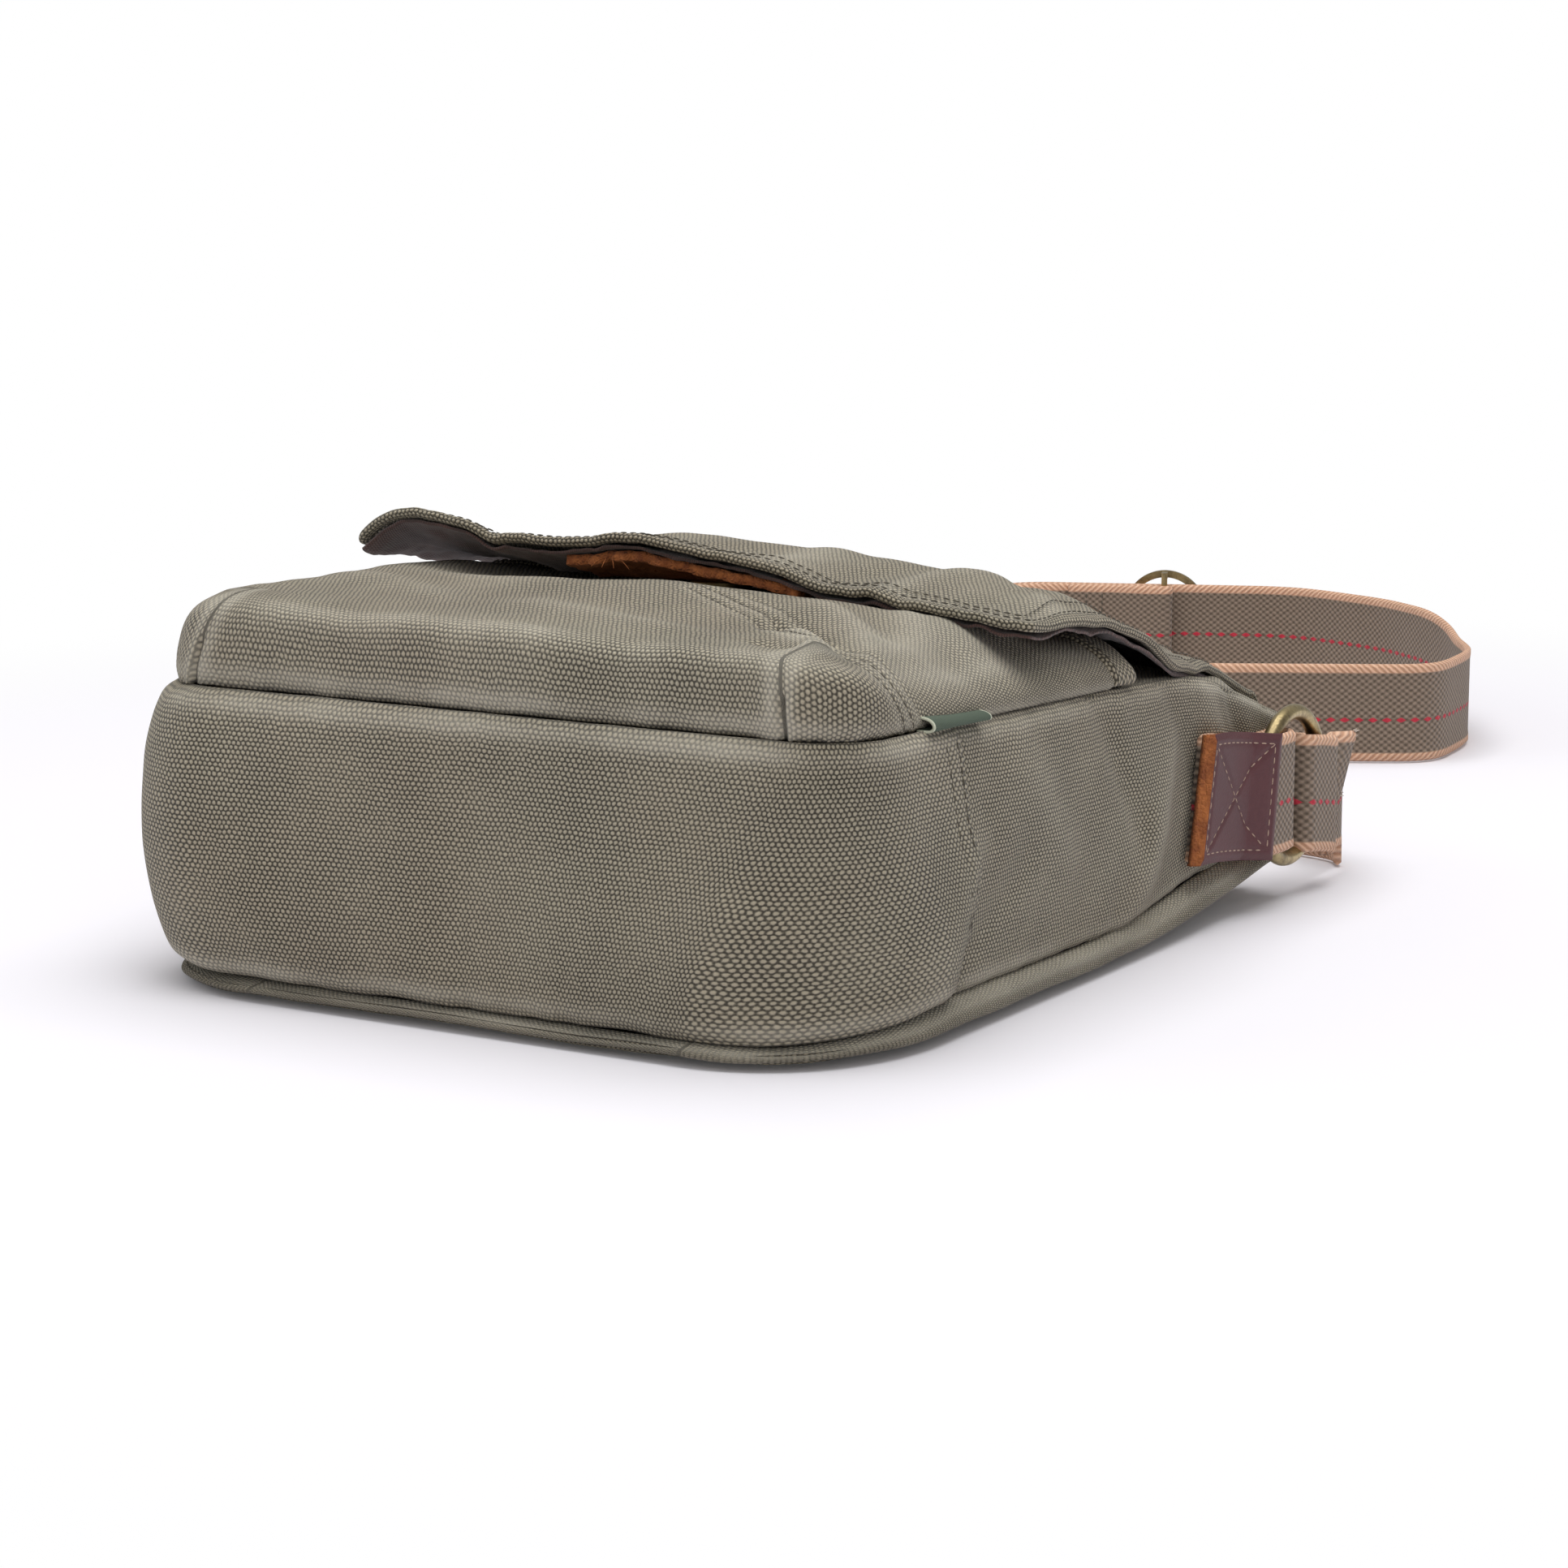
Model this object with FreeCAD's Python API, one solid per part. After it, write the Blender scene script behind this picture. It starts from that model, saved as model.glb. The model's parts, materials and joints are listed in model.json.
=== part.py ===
"""Canvas messenger bag lying on its back: panels, boxed pocket, flap, rings and webbing strap.

Frame, in millimetres: +X across the bag, +Y from its bottom end to its mouth, +Z from the
back panel to the flap. The origin is the middle of the flat back panel.
"""
import FreeCAD
import Part
import math
import os

# ---------------------------------------------------------------- cloth
CANVAS = 2.0                 # heavy canvas, with its felled seams
LINING = 0.8                 # brown cotton lining
HEM = 1.2                    # extra cloth of a turned hem
LEATHER = 1.6
WEBBING = 2.2                # thickness of the strap webbing
WEBBING_WIDTH = 38.0
SEWN_GAP = 0.1               # between webbing layers sewn together
LOOSE_GAP = 0.4              # between webbing layers that only lie together
CLEARANCE = 0.3              # between pieces that move past each other

# ---------------------------------------------------------------- bag body
BODY_WIDTH = 230.0
BODY_LENGTH = 275.0          # bottom end to mouth
CORNER_RADIUS = 30.0
SEAM_RISE = 8.0              # the back seam stands this high above the back panel
BACK_EDGE_RADIUS = 5.0
DEPTH_BOTTOM = 85.0          # back to front seam, at the bottom end
DEPTH_MIDDLE = 80.3
MIDDLE_Y = 40.0              # the depth starts to fall here
DEPTH_MOUTH = 58.0
BACK_LIFT = 12.0             # the back panel rises this much at the mouth
GUSSET_WRAP = 55.0           # how far the bottom gusset runs up each side
MOUTH_HEM_WIDTH = 14.0

# ---------------------------------------------------------------- front pocket
POCKET_BOX = 24.0            # how far the pocket stands off the front panel
POCKET_FALL = 6.5            # it is this much shallower at its mouth
POCKET_MOUTH_Y = 27.0
POCKET_EDGE_RADIUS = 9.0
POCKET_HEM_WIDTH = 14.0
DART_X = 97.0                # corner darts, left and right
DART_DEPTH = 1.0
DART_WIDTH = 1.6
DART_LEAN = 3.0              # the dart leans in by this much up its height

# ---------------------------------------------------------------- flap
FLAP_GAP = 10.5              # flap to pocket, over the snap
FLAP_WIDTH = 232.0
FLAP_NECK = 208.0            # its width at the fold
FLAP_EDGE_Y = -40.0          # free edge
FLAP_CORNER = 14.0
FLAP_HEM_WIDTH = 12.0
FLAP_SPARE = 4.0             # sheet drawn past the outline that trims it
FOLD_CLEARANCE = 1.0         # open slot left along each hinge line

# ---------------------------------------------------------------- snap
SNAP_Y = -15.0
SNAP_RADIUS = 9.0
SNAP_BOSS_RADIUS = 3.0
SNAP_BOSS = 1.0
SNAP_SOCKET_HOLE = 4.4
SNAP_HOLE_SPARE = 0.4        # the hole is this much deeper than the boss is high
PATCH_WIDTH = 80.0
PATCH_LENGTH = 38.0
PATCH_INSET = 2.0            # behind the flap's free edge
PATCH_LEATHER = 3.0
POCKET_PATCH = 32.0          # square
SNAP_SUNK = 0.6              # the socket is let into its leather this far

# ---------------------------------------------------------------- rings and tabs
RING_WIRE = 5.0
RING_INSIDE = 41.5
RING_BEFORE_MOUTH = 5.5
RING_Z = 36.0
FOLD_OFFSET = 4.0            # ring centre to the outside of each webbing fold
TAB_REACH = 66.0             # tab's sewn end to the ring's centre
TAB_SEWN = 30.0              # length sewn to the gusset
TAB_LOOSE = 20.0             # outer layer, straight from the fold
TAB_LEATHER_LENGTH = 41.0
TAB_LEATHER_HEIGHT = 39.0
LEATHER_INSET = 1.0          # from the tab's sewn end

# ---------------------------------------------------------------- slider
SLIDER_WIDTH = 36.0
SLIDER_HEIGHT = 49.6
SLIDER_RAIL = 3.0
SLIDER_PLATE = 2.5
SLIDER_BAR_RADIUS = 1.3
SLIDER_TRAVEL = 12.0         # each way
SLIDER_X = -113.5
EASY_BEND = 8.0              # bend of webbing where it leaves a sewn layer
LEVEL_RUN = 6.0              # level webbing past the fold round the ring
STRAP_DESCENT = 42.0         # length over which it falls from the ring to the floor
STUB_SEWN = 11.0             # length over which the strap's end is sewn to itself
STUB_EASE = 9.0              # length over which the two layers part
STRAP_LIFT = 6.0             # the slider holds the strap this far off the floor
LOOP_TAIL = 42.0             # the sewn tail's reach from the bar
LOOP_OVER = 8.0              # straight webbing over the bar
LOOP_EASE = 20.0             # from here the tail lies on the strap
LOOP_BEND = 12.0

# ---------------------------------------------------------------- folded side label
LABEL_LENGTH = 32.0
LABEL_REACH = 7.0
LABEL_CLOTH = 0.7
LABEL_FOLD = 1.4             # half the folded label's height
LABEL_Y = -85.0

# ---------------------------------------------------------------- derived levels
HALF_WIDTH = BODY_WIDTH / 2
BOTTOM_Y = -BODY_LENGTH / 2
MOUTH_Y = BODY_LENGTH / 2
RING_Y = MOUTH_Y - RING_BEFORE_MOUTH
TAB_START_Y = RING_Y - TAB_REACH
TAB_SEWN_END_Y = TAB_START_Y + TAB_SEWN
BREAK_Y = MIDDLE_Y + 40.0    # the front falls off steeply past here
BREAK_DROP = 4.3
TALL = 800.0                 # taller and longer than anything that is trimmed

WALL_X = HALF_WIDTH                          # outside of the side gusset
RING_X = WALL_X + WEBBING + CLEARANCE + RING_WIRE / 2
RING_RADIUS = (RING_INSIDE + RING_WIRE) / 2
LAYER_IN = RING_X - RING_WIRE / 2 - CLEARANCE - WEBBING / 2
LAYER_OUT = RING_X + RING_WIRE / 2 + CLEARANCE + WEBBING / 2
LAYER_SEWN = LAYER_IN + WEBBING + SEWN_GAP   # outer layer where the two are sewn together
FOLD_RADIUS = (LAYER_OUT - LAYER_IN) / 2
WEB_LOW = RING_Z - WEBBING_WIDTH / 2         # the webbing's lower edge at the rings
TAB_FOLD_Y = RING_Y - FOLD_OFFSET - WEBBING / 2
STRAP_FOLD_Y = RING_Y + FOLD_OFFSET + WEBBING / 2
STRAP_FLOOR_Y = STRAP_FOLD_Y + STRAP_DESCENT # from here on the strap stands on the floor

BACK_LINE = [(BOTTOM_Y, 0.0), (MIDDLE_Y, 0.0), (MOUTH_Y, BACK_LIFT)]
FRONT_LINE = [
    (BOTTOM_Y, DEPTH_BOTTOM),
    (MIDDLE_Y, DEPTH_MIDDLE),
    (BREAK_Y, DEPTH_MIDDLE - BREAK_DROP),
    (MOUTH_Y, DEPTH_MOUTH),
]
POCKET_LINE = [
    (BOTTOM_Y, DEPTH_BOTTOM + POCKET_BOX),
    (POCKET_MOUTH_Y, DEPTH_MIDDLE + POCKET_BOX - POCKET_FALL),
]


# ================================================================ helpers
def level(line, y):
    """Height of a side-view line at y, held flat past its ends."""
    if y <= line[0][0]:
        return line[0][1]
    for (y0, z0), (y1, z1) in zip(line, line[1:]):
        if y <= y1:
            return z0 + (z1 - z0) * (y - y0) / (y1 - y0)
    return line[-1][1]


def raised(line, dz):
    """A side-view line moved up by dz."""
    return [(y, z + dz) for y, z in line]


def polygon_face(points):
    """Face inside a closed polygon of 3-D points."""
    return Part.Face(Part.makePolygon([FreeCAD.Vector(*p) for p in points + points[:1]]))


def band(lower, upper, y0=BOTTOM_Y - 5, y1=MOUTH_Y):
    """Solid right across the bag between two side-view lines, from y0 to y1."""
    breaks = sorted({y0, y1} | {y for y, _ in lower + upper if y0 < y < y1})
    below = [(-TALL, y, level(lower, y)) for y in breaks]
    above = [(-TALL, y, level(upper, y)) for y in reversed(breaks)]
    return polygon_face(below + above).extrude(FreeCAD.Vector(2 * TALL, 0, 0))


def plan_block(inset):
    """Upright block on the body's plan outline: round bottom corners, open past the mouth."""
    x = HALF_WIDTH - inset
    y = BOTTOM_Y + inset
    r = CORNER_RADIUS - inset
    far = MOUTH_Y + 60.0
    slope = r * (1 - math.sqrt(0.5))
    edges = [
        Part.makeLine((x, far, -TALL), (x, y + r, -TALL)),
        Part.Arc(
            FreeCAD.Vector(x, y + r, -TALL),
            FreeCAD.Vector(x - slope, y + slope, -TALL),
            FreeCAD.Vector(x - r, y, -TALL),
        ).toShape(),
        Part.makeLine((x - r, y, -TALL), (-x + r, y, -TALL)),
        Part.Arc(
            FreeCAD.Vector(-x + r, y, -TALL),
            FreeCAD.Vector(-x + slope, y + slope, -TALL),
            FreeCAD.Vector(-x, y + r, -TALL),
        ).toShape(),
        Part.makeLine((-x, y + r, -TALL), (-x, far, -TALL)),
        Part.makeLine((-x, far, -TALL), (x, far, -TALL)),
    ]
    return Part.Face(Part.Wire(edges)).extrude(FreeCAD.Vector(0, 0, 2 * TALL))


def box(x0, x1, y0, y1, z0, z1):
    """Box between two corners."""
    return Part.makeBox(x1 - x0, y1 - y0, z1 - z0, FreeCAD.Vector(x0, y0, z0))


def smooth_curve(points):
    """Smooth edge through a row of points."""
    curve = Part.BSplineCurve()
    curve.interpolate([FreeCAD.Vector(*p) for p in points])
    return curve.toShape()


def slab(stations, low, high):
    """Smooth sheet through rows of points, from low to high above them."""
    sections = []
    for row in stations:
        under = [(x, y, z + low) for x, y, z in row]
        over = [(x, y, z + high) for x, y, z in row]
        edges = [
            smooth_curve(under),
            Part.makeLine(under[-1], over[-1]),
            smooth_curve(over),
            Part.makeLine(over[0], under[0]),
        ]
        sections.append(Part.Wire(Part.__sortEdges__(edges)))
    return Part.makeLoft(sections, True, False)


def side(sign):
    """Half space to one side of the bag's middle."""
    return box(0, TALL, -TALL, TALL, -TALL, TALL) if sign > 0 else box(
        -TALL, 0, -TALL, TALL, -TALL, TALL
    )


def mirrored(shape):
    """The same piece on the bag's other side."""
    return shape.mirror(FreeCAD.Vector(0, 0, 0), FreeCAD.Vector(1, 0, 0))


def between_y(shape, y0, y1):
    """The stretch of a shape from y0 to y1."""
    return shape.common(box(-TALL, TALL, y0, y1, -TALL, TALL))


def ribbon(points, radii, near, far, z0, z1):
    """Webbing on edge along a plan route of straight runs joined by tangent arcs.

    near and far are the offsets of its two faces to the left of the route.
    """
    vecs = [FreeCAD.Vector(x, y, z0) for x, y in points]
    left = []
    right = []
    start = vecs[0]

    def shifted(p, heading, offset):
        return p + FreeCAD.Vector(-heading.y, heading.x, 0) * offset

    for i in range(1, len(vecs)):
        corner = vecs[i]
        heading = (corner - vecs[i - 1]).normalize()
        last = i == len(vecs) - 1
        if last:
            end = corner
        else:
            out = (vecs[i + 1] - corner).normalize()
            cross = heading.x * out.y - heading.y * out.x
            turn = math.atan2(cross, heading.dot(out))
            back = radii[i - 1] * math.tan(abs(turn) / 2)
            end = corner - heading * back
        if (end - start).Length > 1e-3:
            left.append(Part.makeLine(shifted(start, heading, far), shifted(end, heading, far)))
            right.append(Part.makeLine(shifted(start, heading, near), shifted(end, heading, near)))
        if last:
            break
        sense = 1 if turn > 0 else -1
        centre = shifted(end, heading, sense * radii[i - 1])
        begin_next = corner + out * back
        middle = (heading + out).normalize()
        for offset, edges in ((far, left), (near, right)):
            a = shifted(end, heading, offset)
            b = shifted(begin_next, out, offset)
            radius = radii[i - 1] - sense * offset
            m = centre - FreeCAD.Vector(-middle.y, middle.x, 0) * (sense * radius)
            edges.append(Part.Arc(a, m, b).toShape())
        start = begin_next
    first = left[0].Vertexes[0].Point, right[0].Vertexes[0].Point
    final = left[-1].Vertexes[-1].Point, right[-1].Vertexes[-1].Point
    caps = [Part.makeLine(*first), Part.makeLine(*final)]
    wire = Part.Wire(Part.__sortEdges__(left + right + caps))
    return Part.Face(wire).extrude(FreeCAD.Vector(0, 0, z1 - z0))


def webbing(points, radii, offset=0.0, z0=0.0):
    """One layer of strap webbing, centred at an offset to the left of its route."""
    half = WEBBING / 2
    return ribbon(points, radii, offset - half, offset + half, z0, z0 + WEBBING_WIDTH)


def trimmed(points, radii, offset, outline):
    """Webbing cut to a slanting side view, where the strap rises or falls along Y."""
    half = WEBBING / 2
    blank = ribbon(points, radii, offset - half, offset + half, -WEBBING_WIDTH, 3 * WEBBING_WIDTH)
    mask = polygon_face([(x - TALL, y, z) for x, y, z in outline])
    return blank.common(mask.extrude(FreeCAD.Vector(2 * TALL, 0, 0)))


# ================================================================ bag body
def bag_body():
    """Back, front and gusset panels with their lining and the hem round the mouth."""
    skin = plan_block(0)
    canvas_in = plan_block(CANVAS)
    lining_in = plan_block(CANVAS + LINING)
    hem_in = plan_block(CANVAS + LINING + HEM)
    seam = raised(BACK_LINE, SEAM_RISE)
    front_in = raised(FRONT_LINE, -CANVAS)
    floor_in = raised(BACK_LINE, CANVAS)

    tray = skin.common(band(BACK_LINE, seam))
    rim = [e for e in tray.Edges if is_back_edge(e)]
    tray = tray.makeFillet(BACK_EDGE_RADIUS, rim)
    back_panel = tray.cut(canvas_in.common(band(floor_in, raised(seam, 5))))

    gusset = skin.cut(canvas_in).common(band(seam, front_in))
    wrap_y = BOTTOM_Y + GUSSET_WRAP
    sides = between_y(gusset, wrap_y, TALL)

    lining_floor = raised(floor_in, LINING)
    lining_roof = raised(front_in, -LINING)
    hem_floor = raised(lining_floor, HEM)
    hem_roof = raised(lining_roof, -HEM)
    hem = lining_in.common(band(lining_floor, lining_roof))
    hem = hem.cut(hem_in.common(band(hem_floor, hem_roof, y1=MOUTH_Y + 1)))
    return {
        "back_panel": back_panel,
        "main_front_panel": skin.common(band(front_in, FRONT_LINE)),
        "bottom_gusset": between_y(gusset, -TALL, wrap_y),
        "side_gusset_left": sides.common(side(-1)),
        "side_gusset_right": sides.common(side(1)),
        "lining_back": canvas_in.common(band(floor_in, lining_floor)),
        "lining_gusset": canvas_in.cut(lining_in).common(band(lining_floor, lining_roof)),
        "lining_front": canvas_in.common(band(lining_roof, front_in)),
        "mouth_hem": between_y(hem, MOUTH_Y - MOUTH_HEM_WIDTH, MOUTH_Y),
    }


def is_back_edge(edge):
    """True for the edges round the underside of the back panel, mouth edge left out."""
    ends = [v.Point for v in edge.Vertexes]
    low = all(abs(p.z - level(BACK_LINE, p.y)) < 1e-6 for p in ends)
    across = all(abs(p.x) < HALF_WIDTH - 1e-6 for p in ends)
    at_mouth = all(abs(p.y - MOUTH_Y) < 1e-6 for p in ends)
    fold = all(abs(p.y - MIDDLE_Y) < 1e-6 for p in ends)
    return low and not at_mouth and not fold and (not across or ends[0].y < BOTTOM_Y + 1e-6)


# ================================================================ front pocket
# How the slack pocket swells and sinks: height over POCKET_LINE, at shares of the half width
# (across) and of the pocket's length from its bottom (down).
POCKET_ACROSS = [-1.10, -0.84, -0.52, -0.17, 0.17, 0.52, 0.73, 0.88, 1.10]
POCKET_SWELL = [
    (-0.06, [0.4, 1.2, 0.6, 0.0, -0.2, -0.4, -1.0, -2.2, -4.2]),
    (0.26, [3.0, 4.0, 3.4, 2.1, 1.2, 0.2, -1.5, -4.0, -6.0]),
    (0.47, [5.0, 6.0, 4.8, 2.3, 1.3, 1.3, -0.8, -4.2, -6.0]),
    (0.75, [6.6, 7.4, 4.6, 0.5, 0.3, 1.4, 0.2, -3.2, -6.0]),
    (1.06, [3.0, 4.4, 3.8, 1.8, 0.6, 0.2, -1.2, -3.6, -5.4]),
]


def pocket_top():
    """Rows of points on the pocket's outer face."""
    length = POCKET_MOUTH_Y - BOTTOM_Y
    rows = []
    for down, swell in POCKET_SWELL:
        y = BOTTOM_Y + down * length
        base = POCKET_LINE[0][1] + down * (POCKET_LINE[1][1] - POCKET_LINE[0][1])
        rows.append([(HALF_WIDTH * a, y, base + dz) for a, dz in zip(POCKET_ACROSS, swell)])
    return rows


def pocket_form(inset):
    """The pocket's rounded form, drawn in from its outside by inset."""
    reach = box(-TALL, TALL, BOTTOM_Y - 5, POCKET_MOUTH_Y, -TALL, TALL)
    under_top = slab(pocket_top(), -2 * POCKET_BOX, -inset).common(reach)
    over_front = band(FRONT_LINE, raised(POCKET_LINE, POCKET_BOX), y1=POCKET_MOUTH_Y)
    form = plan_block(inset).common(over_front).common(under_top)
    floor_gap = POCKET_EDGE_RADIUS - inset
    rim = []
    for edge in form.Edges:
        ends = [v.Point for v in edge.Vertexes]
        on_top = all(p.z > level(FRONT_LINE, p.y) + floor_gap for p in ends)
        at_mouth = all(abs(p.y - POCKET_MOUTH_Y) < 1e-6 for p in ends)
        if on_top and not at_mouth:
            rim.append(edge)
    return form.makeFillet(POCKET_EDGE_RADIUS - inset, rim)


def front_pocket():
    """Boxed pocket with a dart at each bottom corner and a hem turned in at its mouth."""
    outside = pocket_form(0)
    inside = pocket_form(CANVAS)
    pocket = outside.cut(inside)
    for sign in (-1, 1):
        x = sign * DART_X
        y = BOTTOM_Y
        groove = polygon_face([
            (x - DART_WIDTH / 2, y - 0.1, DEPTH_BOTTOM),
            (x + DART_WIDTH / 2, y - 0.1, DEPTH_BOTTOM),
            (x, y + DART_DEPTH, DEPTH_BOTTOM),
        ])
        lean = FreeCAD.Vector(-sign * DART_LEAN, 0, POCKET_BOX - POCKET_EDGE_RADIUS / 2)
        pocket = pocket.cut(groove.extrude(lean))
    hem = inside.cut(pocket_form(CANVAS + HEM))
    return {
        "pocket_front": pocket,
        "pocket_hem": between_y(hem, POCKET_MOUTH_Y - POCKET_HEM_WIDTH, POCKET_MOUTH_Y),
    }


# ================================================================ flap
FLAP_THICKNESS = CANVAS + LINING
TOP_PLATE_Y = MOUTH_Y + FOLD_CLEARANCE       # inside face of the flap's stretch over the mouth
FOLD_Z = DEPTH_MOUTH + 0.3
# How the slack flap lies: height of its underside over the pocket's line (first five rows) or
# over the front panel (the others), at shares of the flap's half width.
FLAP_ACROSS = [-1.04, -0.89, -0.68, -0.57, -0.33, 0.0, 0.16, 0.47, 0.66, 0.86, 1.04]
FLAP_LIE = [
    (FLAP_EDGE_Y - FLAP_SPARE, [11.3, 21.1, 21.0, 18.1, 17.8, 19.3, 15.6, 7.4, 4.8, 3.2, 2.0]),
    (FLAP_EDGE_Y + 12.0, [9.7, 16.7, 15.7, 14.2, 14.7, 16.3, 14.2, 8.3, 6.3, 4.7, 1.2]),
    (SNAP_Y, [9.5, 12.3, 10.8, 10.3, 11.5, FLAP_GAP, 12.5, 9.1, 8.5, 6.3, 0.8]),
    (8.0, [8.1, 10.6, 10.1, 10.6, 14.1, 16.1, 13.9, 11.3, 10.1, 5.8, -1.4]),
    (POCKET_MOUTH_Y + 3.0, [4.4, 9.9, 11.4, 12.4, 15.4, 14.4, 12.6, 9.7, 7.0, 1.0, -6.6]),
    (MIDDLE_Y + 18.0, [14.2, 18.6, 22.6, 24.8, 27.3, 26.3, 24.3, 20.3, 15.8, 10.0, 3.8]),
    (BREAK_Y + 8.0, [7.0, 10.6, 14.7, 16.1, 18.2, 17.6, 16.7, 13.7, 10.7, 7.6, 3.4]),
    (BREAK_Y + 38.0, [4.6, 7.0, 9.1, 10.1, 11.5, 11.4, 10.7, 9.1, 7.6, 6.2, 4.4]),
    (TOP_PLATE_Y, [1.4] * 11),
]


def flap_underside():
    """Rows of points on the flap's underside."""
    half = FLAP_WIDTH / 2
    rows = []
    for y, lie in FLAP_LIE:
        line = POCKET_LINE if y < POCKET_MOUTH_Y + 4.0 else FRONT_LINE
        base = level(line, max(y, FLAP_EDGE_Y))
        rows.append([(half * a, y, base + dz) for a, dz in zip(FLAP_ACROSS, lie)])
    return rows


def flap_slab(low, high):
    """Slack sheet between two heights above the flap's underside."""
    return slab(flap_underside(), low, high)


def flap_plan(inset):
    """Upright block on the flap's plan outline: narrow at the fold, round at the free corners."""
    wide = FLAP_WIDTH / 2 - inset
    neck = FLAP_NECK / 2 - inset
    y0 = FLAP_EDGE_Y + inset
    r = max(FLAP_CORNER - inset, 2.0)
    mid_y = MIDDLE_Y
    mouth_end = MOUTH_Y + FOLD_CLEARANCE
    slope = r * (1 - math.sqrt(0.5))
    z = -TALL
    edges = [
        Part.makeLine((neck, mouth_end, z), (wide, mid_y, z)),
        Part.makeLine((wide, mid_y, z), (wide, y0 + r, z)),
        Part.Arc(
            FreeCAD.Vector(wide, y0 + r, z),
            FreeCAD.Vector(wide - slope, y0 + slope, z),
            FreeCAD.Vector(wide - r, y0, z),
        ).toShape(),
        Part.makeLine((wide - r, y0, z), (-wide + r, y0, z)),
        Part.Arc(
            FreeCAD.Vector(-wide + r, y0, z),
            FreeCAD.Vector(-wide + slope, y0 + slope, z),
            FreeCAD.Vector(-wide, y0 + r, z),
        ).toShape(),
        Part.makeLine((-wide, y0 + r, z), (-wide, mid_y, z)),
        Part.makeLine((-wide, mid_y, z), (-neck, mouth_end, z)),
        Part.makeLine((-neck, mouth_end, z), (neck, mouth_end, z)),
    ]
    return Part.Face(Part.Wire(edges)).extrude(FreeCAD.Vector(0, 0, 2 * TALL))


def flap():
    """The flap's two stretches: up over the mouth, and down over the front."""
    whole = flap_slab(0, FLAP_THICKNESS).common(flap_plan(0))
    lining = flap_slab(0, LINING).common(flap_plan(FLAP_HEM_WIDTH))
    neck = FLAP_NECK / 2
    y = TOP_PLATE_Y
    low = BACK_LIFT + FOLD_CLEARANCE
    plate = box(-neck, neck, y, y + FLAP_THICKNESS, low, FOLD_Z - 0.5)
    plate_lining = box(-neck + FLAP_HEM_WIDTH, neck - FLAP_HEM_WIDTH, y, y + LINING,
                       low, FOLD_Z - 0.5)
    return {
        "flap_front_canvas": whole.cut(lining),
        "flap_front_lining": lining,
        "flap_top_canvas": plate.cut(plate_lining),
        "flap_top_lining": plate_lining,
    }


def snap():
    """Magnetic snap: stud on the pocket and socket under the flap, each on a leather patch."""
    half = PATCH_WIDTH / 2
    seat_half = POCKET_PATCH / 2
    patch_y = FLAP_EDGE_Y + PATCH_INSET
    under = flap_slab(-PATCH_LEATHER, 0)
    flap_patch = under.common(box(-half, half, patch_y, patch_y + PATCH_LENGTH, 0, TALL))
    on_pocket = slab(pocket_top(), 0, LEATHER)
    square = box(-seat_half, seat_half, SNAP_Y - seat_half, SNAP_Y + seat_half, 0, TALL)
    pocket_patch = on_pocket.common(square)

    share = (SNAP_Y - BOTTOM_Y) / (POCKET_MOUTH_Y - BOTTOM_Y)
    base = POCKET_LINE[0][1] + share * (POCKET_LINE[1][1] - POCKET_LINE[0][1])
    sag = (POCKET_SWELL[3][1][3] + POCKET_SWELL[3][1][4]) / 2
    seat = FreeCAD.Vector(0, SNAP_Y, base + sag + LEATHER)
    normal = FreeCAD.Vector(0, 0, 1)
    room = (FLAP_GAP - sag - LEATHER - PATCH_LEATHER - CLEARANCE) / 2
    sunk = normal * SNAP_SUNK
    stud = Part.makeCylinder(SNAP_RADIUS, room + SNAP_SUNK, seat - sunk, normal)
    stud = stud.fuse(Part.makeCylinder(SNAP_BOSS_RADIUS, room + SNAP_BOSS, seat, normal))
    pocket_patch = pocket_patch.cut(stud)
    socket_seat = seat + normal * (room + CLEARANCE)
    socket = Part.makeCylinder(SNAP_RADIUS, room + SNAP_SUNK, socket_seat, normal)
    hole = Part.makeCylinder(SNAP_SOCKET_HOLE, SNAP_BOSS + SNAP_HOLE_SPARE, socket_seat, normal)
    socket = socket.cut(hole)
    return {
        "flap_snap_patch": flap_patch.cut(socket),
        "snap_socket": socket,
        "pocket_snap_patch": pocket_patch,
        "snap_stud": stud.removeSplitter(),
    }


# ================================================================ rings and tabs
def tab_webbing():
    """Right-hand webbing tab: sewn flat on the gusset, folded round the ring's wire."""
    corner = TAB_FOLD_Y
    points = [
        (LAYER_IN, TAB_START_Y),
        (LAYER_IN, corner),
        (LAYER_OUT, corner),
        (LAYER_OUT, corner - TAB_LOOSE),
        (LAYER_SEWN, TAB_SEWN_END_Y),
        (LAYER_SEWN, TAB_START_Y),
    ]
    radii = [FOLD_RADIUS, FOLD_RADIUS, EASY_BEND, EASY_BEND]
    return webbing(points, radii, 0.0, WEB_LOW)


def tab_leather():
    """Right-hand leather patch over the sewn end of the tab."""
    outside = LAYER_SEWN + WEBBING / 2
    z0 = RING_Z - TAB_LEATHER_HEIGHT / 2
    y0 = TAB_START_Y + LEATHER_INSET
    bend = TAB_SEWN_END_Y - LEATHER_INSET
    lift = (LAYER_OUT - LAYER_SEWN) * (TAB_LEATHER_LENGTH - (bend - y0)) / (
        TAB_FOLD_Y - TAB_LOOSE - TAB_SEWN_END_Y)
    points = [
        (outside, y0),
        (outside, bend),
        (outside + lift, y0 + TAB_LEATHER_LENGTH),
        (outside + lift + LEATHER, y0 + TAB_LEATHER_LENGTH),
        (outside + LEATHER, bend),
        (outside + LEATHER, y0),
    ]
    face = polygon_face([(x, y, z0) for x, y in points])
    leather = face.extrude(FreeCAD.Vector(0, 0, TAB_LEATHER_HEIGHT))
    return leather.cut(tab_webbing())


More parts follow.
